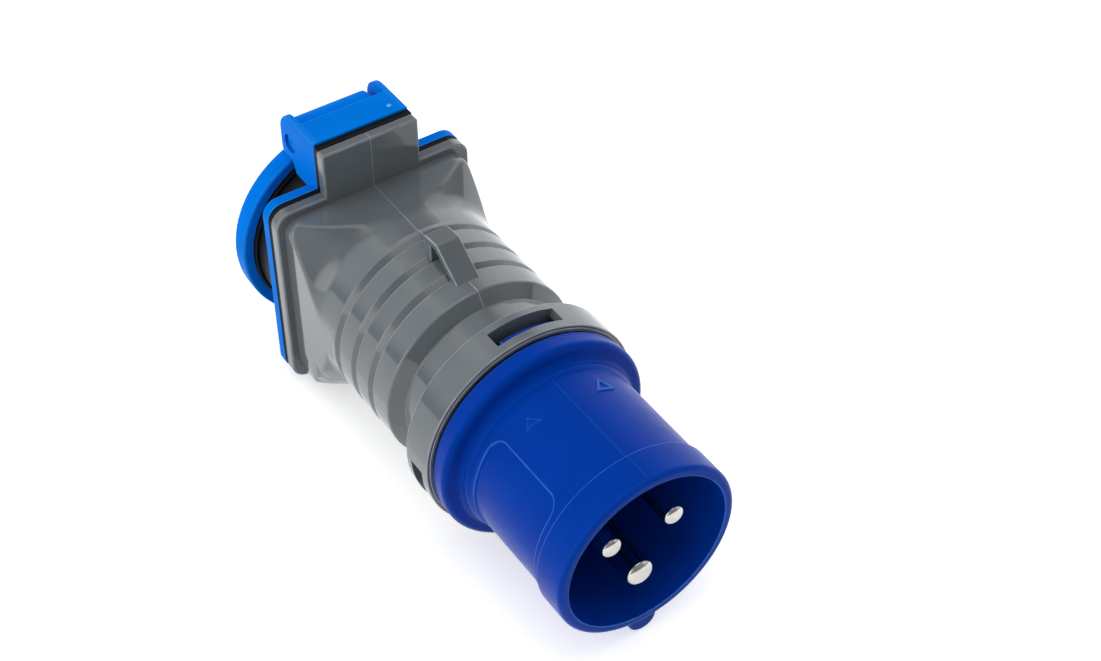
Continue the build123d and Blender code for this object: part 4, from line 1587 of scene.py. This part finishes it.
@dataclass
class FacePlate:
    """Azure face plate with its hinge block, the pin and the screws.

    Attributes:
        finishes: the finishes of the plug.
        plate_front, plate_rear: ends of the plate.
        bore: radius of its opening.
        block_rear, block_bottom, block_top: rear, bottom and top of the block.
        block_half, ear: half of the width over both ears, and thickness of an ear.
        ear_reach, ear_drop: how far the ears reach past the axis of the hinge and below it.
        ear_foot, ear_waist: how far past the block their lower edge starts and turns.
        ear_round: radius of their upper corner.
        barrel_room: radius of the hollow for the barrel.
        pin_radius, pin_gap, pin_recess: radius of the pin, gap round its ends and how deep they lie.
        dimple: radius and depth of the dimple in each end.
        gate, gate_radius, gate_lift: x and station, radius and height of the broken gate.
        screw_edge: distance of the screws from the plate's edges.
        screw_radius, head_radius: radii of their shanks and heads.
        screw_gap, screw_sink: gap round each screw, and how far the heads lie under the plate's face.
    """

    finishes: Finishes
    plate_front: float = 113.0
    plate_rear: float = 115.7
    bore: float = 23.45
    block_rear: float = 121.4
    block_bottom: float = 22.8
    block_top: float = 38.4
    block_half: float = 12.45
    ear: float = 1.5
    ear_reach: float = 4.35
    ear_drop: float = 4.75
    ear_foot: float = 2.1
    ear_waist: float = 3.2
    ear_round: float = 5.6
    barrel_room: float = 6.0
    pin_radius: float = 2.0
    pin_gap: float = 0.45
    pin_recess: float = 0.6
    dimple: float = 0.7
    gate: tuple[float, float] = (9.1, 115.8)
    gate_radius: float = 0.55
    gate_lift: float = 0.2
    screw_edge: float = 5.5
    screw_radius: float = 1.45
    head_radius: float = 2.7
    screw_gap: float = 0.12
    screw_sink: float = 0.1

    def build(self) -> None:
        """Build the plate, its pin and its screws."""
        self.plate()
        self.gate_vestige()
        self.hinge_pin()
        self.screws()

    def plate(self) -> None:
        """Plate, block and ears as one moulding."""
        shells = Shells()
        half, corner = PLATE_HALF, PLATE_CORNER
        outline = rounded([(x, z, corner) for x, z in (
            (-half, -half), (half, -half), (half, half), (-half, half))])
        bore = circle(0.0, 0.0, self.bore, 180)
        holes = [((bore, self.plate_front), (bore, self.plate_rear))]
        holes += [self.countersink(x, z) for x, z in self.screw_places()]
        shells.prism(outline, along_y, self.plate_front, self.plate_rear, 0.12, 0.5, holes)
        self.block(shells)
        self.ears(shells)
        shells.finish("face_plate_moulding", self.finishes.blue_rear, Body.PLUG,
                      ["face_plate"])

    def screw_places(self) -> Points:
        """x and z of the four screws."""
        reach = PLATE_HALF - self.screw_edge
        return [(x, z) for x in (-reach, reach) for z in (-reach, reach)]

    def countersink(self, x: float, z: float) -> tuple[Ring, ...]:
        """Rings of one screw hole with its countersink in the rear face.

        Args:
            x: place of the screw.
            z: height of the screw.

        Returns:
            Rings from the front face to the rear face.
        """
        shank = circle(x, z, self.screw_radius + self.screw_gap, 32)
        head = circle(x, z, self.head_radius + self.screw_gap, 32)
        throat = self.plate_rear - (self.head_radius - self.screw_radius)
        return ((shank, self.plate_front), (shank, throat), (head, self.plate_rear))

    def screws(self) -> None:
        """Four countersunk screws with crossed slots, grown by geometry nodes."""
        depth = self.head_radius - self.screw_radius
        base = bpy.data.meshes.new("screw_places")
        station = self.plate_rear - self.screw_sink - depth
        base.from_pydata([(x * MM, station * MM, z * MM) for x, z in self.screw_places()], [], [])
        sizes = {"Head Radius": self.head_radius, "Head Depth": depth,
                 "Shank Radius": self.screw_radius, "Shank Length": 8.0,
                 "Slot Reach": 0.6 * self.head_radius, "Slot Width": 0.6, "Slot Depth": 0.9}
        data = grown(base, ScrewTree().build(), sizes, self.finishes.steel)
        dress(data, "plate_screw_set", self.finishes.steel, Body.PLUG, ["plate_screws"])

    def block(self, shells: Shells) -> None:
        """Block between the ears, hollowed for the barrel.

        Args:
            shells: what it is added to.
        """
        steps = 24
        drop = math.sqrt(self.barrel_room ** 2 - (PIVOT_Y - self.block_rear) ** 2)
        start = math.atan2(-drop, self.block_rear - PIVOT_Y)
        end = math.atan2(drop, self.block_rear - PIVOT_Y)
        sweep = (end - start) % (2 * math.pi) - 2 * math.pi
        arc = [(PIVOT_Y + self.barrel_room * math.cos(t),
                PIVOT_Z + self.barrel_room * math.sin(t)) for t in spaced(start, sweep, steps)]
        outline = [(self.plate_front, self.block_bottom), (self.block_rear, self.block_bottom)]
        outline += arc
        outline += rounded([(self.block_rear, self.block_top - 1), (self.block_rear, self.block_top, 0.4),
                            (self.plate_front, self.block_top)], closed=False)
        inner = self.block_half - self.ear
        shells.prism(outline, along_x, -inner, inner)

    def ears(self, shells: Shells) -> None:
        """Two ears that carry the pin.

        Args:
            shells: what they are added to.
        """
        outline = rounded([
            (self.plate_front, self.block_bottom),
            (self.block_rear + self.ear_foot, self.block_bottom, 0.4),
            (self.block_rear + self.ear_waist, PIVOT_Z - self.ear_drop, 1.0),
            (PIVOT_Y + self.ear_reach, PIVOT_Z - self.ear_drop, 2.0),
            (PIVOT_Y + self.ear_reach, self.block_top, self.ear_round),
            (self.plate_front, self.block_top),
        ])
        inner = self.block_half - self.ear
        recess = circle(PIVOT_Y, PIVOT_Z, self.pin_radius + self.pin_gap)
        for side in (-1, 1):
            near, far = side * inner, side * self.block_half
            shells.prism(outline, along_x, near, far, 0.0, 0.45, [((recess, near), (recess, far))])

    def gate_vestige(self) -> None:
        """Small pip on the block where the plastic was fed in, coloured paler as a painted highlight."""
        shells = Shells()
        outline = circle(*self.gate, self.gate_radius, 24)
        shells.prism(outline, along_z, self.block_top - 0.3, self.block_top + self.gate_lift, 0.0, 0.18)
        shells.finish("gate_vestige", self.finishes.gate_painted_highlight, Body.PLUG)

    def hinge_pin(self) -> None:
        """Pin whose ends show in the ears."""
        shells = Shells()
        end = self.block_half - self.pin_recess
        shells.turned(rounded([
            (NEAR_AXIS, self.dimple - end), (self.dimple, -end), (self.pin_radius, -end, 0.3),
            (self.pin_radius, end, 0.3), (self.dimple, end), (NEAR_AXIS, end - self.dimple),
        ]), about_x(PIVOT_Y, PIVOT_Z), 48)
        shells.finish("hinge_pin_turned", self.finishes.blue_rear, Body.PLUG,
                      ["hinge_pin"])


@dataclass
class Lid:
    """Azure lid with its barrel, arm and seal.

    Attributes:
        finishes: the finishes of the plug.
        radius, wall: outside of the lid and thickness of its rim.
        front, inner_face, rear: stations of the rim's edge, the face inside it and the back.
        dome: how far the back swells.
        field_radius, field_depth: the shallow panel in the back.
        gate_radius: radius of the mark in the panel's middle.
        barrel_radius, barrel_left, barrel_right: radius and ends of the barrel.
        pin_bore, spring_bore, spring_depth: its bore, and the room for the spring.
        socket_end, socket_radius, socket_outer: end, well and outside of the socket's rim.
    """

    finishes: Finishes
    radius: float = 26.8
    wall: float = 2.6
    front: float = 126.9
    inner_face: float = 129.4
    rear: float = 132.8
    dome: float = 0.6
    field_radius: float = 22.6
    field_depth: float = 0.35
    gate_radius: float = 2.6
    barrel_radius: float = 5.4
    barrel_left: float = -10.8
    barrel_right: float = 9.15
    pin_bore: float = 2.1
    spring_bore: float = 3.25
    spring_depth: float = 3.3
    socket_end: float = 127.6
    socket_radius: float = 19.7
    socket_outer: float = 23.4

    def build(self) -> None:
        """Build the lid and its seal."""
        self.cap()
        self.seal()

    def cap(self) -> None:
        """Cap with its shallow panel, thumb ridge, arm and barrel."""
        shells = Shells()
        inner = self.radius - self.wall
        shoulder = self.rear + self.dome * 0.2
        top = self.rear + self.dome
        shells.turned(rounded([
            (inner, self.front, 0.2),
            (self.radius, self.front, 0.6),
            (self.radius, self.rear, 2.2),
            (self.field_radius + self.field_depth, shoulder, 0.3),
            (self.field_radius, shoulder - self.field_depth, 0.3),
            (self.gate_radius + self.field_depth, top - self.field_depth, 0.3),
            (self.gate_radius, top - 2 * self.field_depth, 0.2),
            (2 * NEAR_AXIS, top - 2 * self.field_depth),
            (2 * NEAR_AXIS, self.inner_face),
            (inner, self.inner_face),
        ]), about_y(), 240)
        root, crest = self.rear - 0.5, self.rear + 2.2
        ridge = rounded([
            (root, -self.radius + 1.8), (crest, -self.radius + 2.4, 0.6),
            (crest, -self.radius + 4.0, 0.6), (root, -self.radius + 6.5),
        ])
        shells.prism(ridge, along_x, -8.0, 8.0, 0.5, 0.5)
        arm_foot = self.radius - 2.6
        arm = rounded([
            (PIVOT_Y - 1.5, PIVOT_Z - self.barrel_radius + 1.0),
            (self.front + 0.4, arm_foot),
            (self.rear - 0.9, arm_foot),
            (self.rear - 1.6, self.radius + 2.2, 2.0),
            (PIVOT_Y + 2.6, PIVOT_Z + 3.2),
        ])
        shells.prism(arm, along_x, self.barrel_left, self.barrel_right, 0.25, 0.25)
        barrel = rounded([
            (self.pin_bore, self.barrel_left), (self.barrel_radius, self.barrel_left, 0.35),
            (self.barrel_radius, self.barrel_right, 0.35), (self.spring_bore, self.barrel_right),
            (self.spring_bore, self.barrel_right - self.spring_depth),
            (self.pin_bore, self.barrel_right - self.spring_depth),
        ])
        shells.turned(barrel, about_x(PIVOT_Y, PIVOT_Z), 96)
        shells.finish("lid_moulding", self.finishes.blue_rear, Body.LID, ["lid"])

    def seal(self) -> None:
        """Ring in the lid that presses on the socket's rim."""
        shells = Shells()
        inner = self.socket_radius + 0.7
        lip = self.socket_outer + 0.15
        outer = self.radius - self.wall - 0.02
        skirt = self.front - 1.1
        shells.turned(rounded([
            (inner, self.socket_end, 0.1), (lip, self.socket_end), (lip, skirt, 0.1),
            (outer, skirt, 0.3), (outer, self.inner_face), (inner, self.inner_face),
        ]), about_y(), 200)
        shells.finish("lid_seal_ring", self.finishes.rubber, Body.LID, ["lid_seal"])


@dataclass
class CarriedNodes:
    """CAD nodes whose own shape shows, with their finishes.

    Attributes:
        finishes: the finishes of the plug.
    """

    finishes: Finishes

    def build(self, nodes: dict[str, Piece]) -> None:
        """Give each carried node its finish.

        Args:
            nodes: the frame's nodes by name.
        """
        plan = {
            "plate_gasket": self.finishes.rubber,
            "socket_insert": self.finishes.insert,
            "socket_rear_cap": self.finishes.insert,
            "line_contact": self.finishes.brass,
            "neutral_contact": self.finishes.brass,
            "earth_clip": self.finishes.brass,
            "lid_spring": self.finishes.steel,
            "pin_terminal_screws": self.finishes.steel,
            "socket_terminal_screws": self.finishes.steel,
            "line_wire": self.finishes.brown,
            "neutral_wire": self.finishes.blue_wire,
            "earth_wire": self.finishes.green,
        }
        for name, material in plan.items():
            data = nodes[name].data
            data.materials.clear()
            data.materials.append(material)
            log.info("%s: frame's own shape", name)


# Studio

def pointing(azimuth: float, elevation: float) -> Vector:
    """Unit vector that points to a place in the sky.

    Args:
        azimuth: degrees from +Y towards +X.
        elevation: degrees over the horizon.

    Returns:
        The vector.
    """
    turn, rise = math.radians(azimuth), math.radians(elevation)
    flat = math.cos(rise)
    return Vector((math.sin(turn) * flat, math.cos(turn) * flat, math.sin(rise)))


@dataclass(frozen=True)
class SoftBox:
    """Round patch of soft light far away.

    Attributes:
        azimuth: degrees from +Y towards +X of its middle.
        elevation: degrees of its middle over the floor.
        reach: angle in degrees from its middle to its edge.
        level: how bright it is, where one is white.
        fade: width of its soft edge in degrees.
    """

    azimuth: float
    elevation: float
    reach: float
    level: float
    fade: float = 18.0

    def glow(self, tree: Tree, direction: Socket) -> Socket:
        """Its light in a direction.

        Args:
            tree: the world's tree.
            direction: where the ray goes.

        Returns:
            The level, from zero to its own.
        """
        middle = pointing(self.azimuth, self.elevation)
        nearness = add_node(tree, "ShaderNodeVectorMath", {"operation": "DOT_PRODUCT"},
                            {0: direction, 1: middle}).outputs["Value"]
        far, near = (math.cos(math.radians(self.reach + s * self.fade / 2)) for s in (1, -1))
        return add_node(tree, "ShaderNodeMapRange", {"interpolation_type": "SMOOTHSTEP"}, {
            "Value": nearness, "From Min": far, "From Max": near, "To Min": 0.0,
            "To Max": self.level}).outputs["Result"]


@dataclass
class Studio:
    """Pale floor, soft light all round and the camera of the photograph.

    Attributes:
        room_level: light of the room between the patches.
        floor_glow, floor_mirrored: how much the floor glows to the camera and in reflections.
        soft_boxes: the patches of light.
        floor_height: height of the floor in millimetres.
        azimuth, elevation: degrees of the camera from -Y towards +X, and over the floor.
        camera_place: place of the camera in millimetres.
        focal, sensor: focal length and width of the sensor in millimetres.
        floor_half: half of the floor's width in metres.
    """

    room_level: float = 0.34
    floor_glow: float = 0.52
    floor_mirrored: float = 0.7
    soft_boxes: tuple[SoftBox, ...] = (
        SoftBox(azimuth=62, elevation=18, reach=28, level=1.6),
        SoftBox(azimuth=274, elevation=8, reach=23, level=2.5),
        SoftBox(azimuth=322, elevation=35, reach=26, level=1.0),
        SoftBox(azimuth=355, elevation=54, reach=15, level=0.5),
        SoftBox(azimuth=0, elevation=90, reach=20, level=1.4),
        SoftBox(azimuth=242, elevation=25, reach=15, level=0.5),
        SoftBox(azimuth=120, elevation=25, reach=18, level=0.6),
    )
    floor_height: float = -26.95
    azimuth: float = -34.13
    elevation: float = 43.85
    camera_place: tuple[float, float, float] = (-167.97, -211.58, 322.52)
    focal: float = 66.04
    sensor: float = 36.0
    floor_half: float = 6.0

    def build(self) -> None:
        """Set up floor, world and camera."""
        self.floor()
        self.world()
        self.camera()

    def floor(self) -> None:
        """Large pale floor under the plug."""
        size = self.floor_half
        data = bpy.data.meshes.new("floor")
        corners = [(-size, -size), (size, -size), (size, size), (-size, size)]
        data.from_pydata([(x, y, self.floor_height * MM) for x, y in corners], [], [(0, 1, 2, 3)])
        piece = in_scene("floor", data)
        material, tree, shader = new_material("pale_studio_floor")
        path = add_node(tree, "ShaderNodeLightPath").outputs
        lift = computed(tree, "MULTIPLY", path["Is Camera Ray"], self.floor_glow)
        for kind in ("Is Glossy Ray", "Is Transmission Ray"):
            lift = computed(tree, "MULTIPLY_ADD", path[kind], self.floor_mirrored, lift)
        wire(shader, {
            "Base Color": linear("#f2f2f2"),
            "Roughness": 0.9,
            "Specular IOR Level": 0.0,
            "Emission Color": (1, 1, 1, 1),
            "Emission Strength": lift,
        })
        data.materials.append(material)

    def world(self) -> None:
        """Dim pale room with patches of soft light, plain white to the camera."""
        world = bpy.data.worlds.new("studio")
        bpy.context.scene.world = world
        world.use_nodes = True
        tree = world.node_tree
        direction = add_node(tree, "ShaderNodeTexCoord").outputs["Generated"]
        level = self.room_level
        for soft in self.soft_boxes:
            level = computed(tree, "ADD", level, soft.glow(tree, direction))
        seen = add_node(tree, "ShaderNodeLightPath").outputs["Is Camera Ray"]
        level = computed(tree, "MAXIMUM", level, seen)
        wire(tree.nodes["Background"], {"Color": (1, 1, 1, 1), "Strength": level})

    def camera(self) -> None:
        """Camera at the photograph's place."""
        data = bpy.data.cameras.new("camera")
        data.sensor_width = self.sensor
        data.lens = self.focal
        data.clip_start = 0.01
        piece = in_scene("camera", data)
        back = pointing(self.azimuth, self.elevation)
        back.y = -back.y
        facing = back.to_track_quat("Z", "Y").to_matrix().to_4x4()
        piece.matrix_world = Matrix.Translation(Vector(self.camera_place) * MM) @ facing
        bpy.context.scene.camera = piece


def main() -> None:
    """Build the dressed plug in order."""
    logging.basicConfig(level=logging.INFO, format="%(message)s")
    for leftover in list(bpy.data.objects):
        bpy.data.objects.remove(leftover)
    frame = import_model()
    bpy.context.scene.view_settings.view_transform = "Standard"
    finishes = Finishes()
    PlugFront(finishes).build()
    Housing(finishes).build()
    FacePlate(finishes).build()
    Lid(finishes).build()
    CarriedNodes(finishes).build(frame["nodes"])
    Studio().build()


if __name__ == "__main__":
    main()
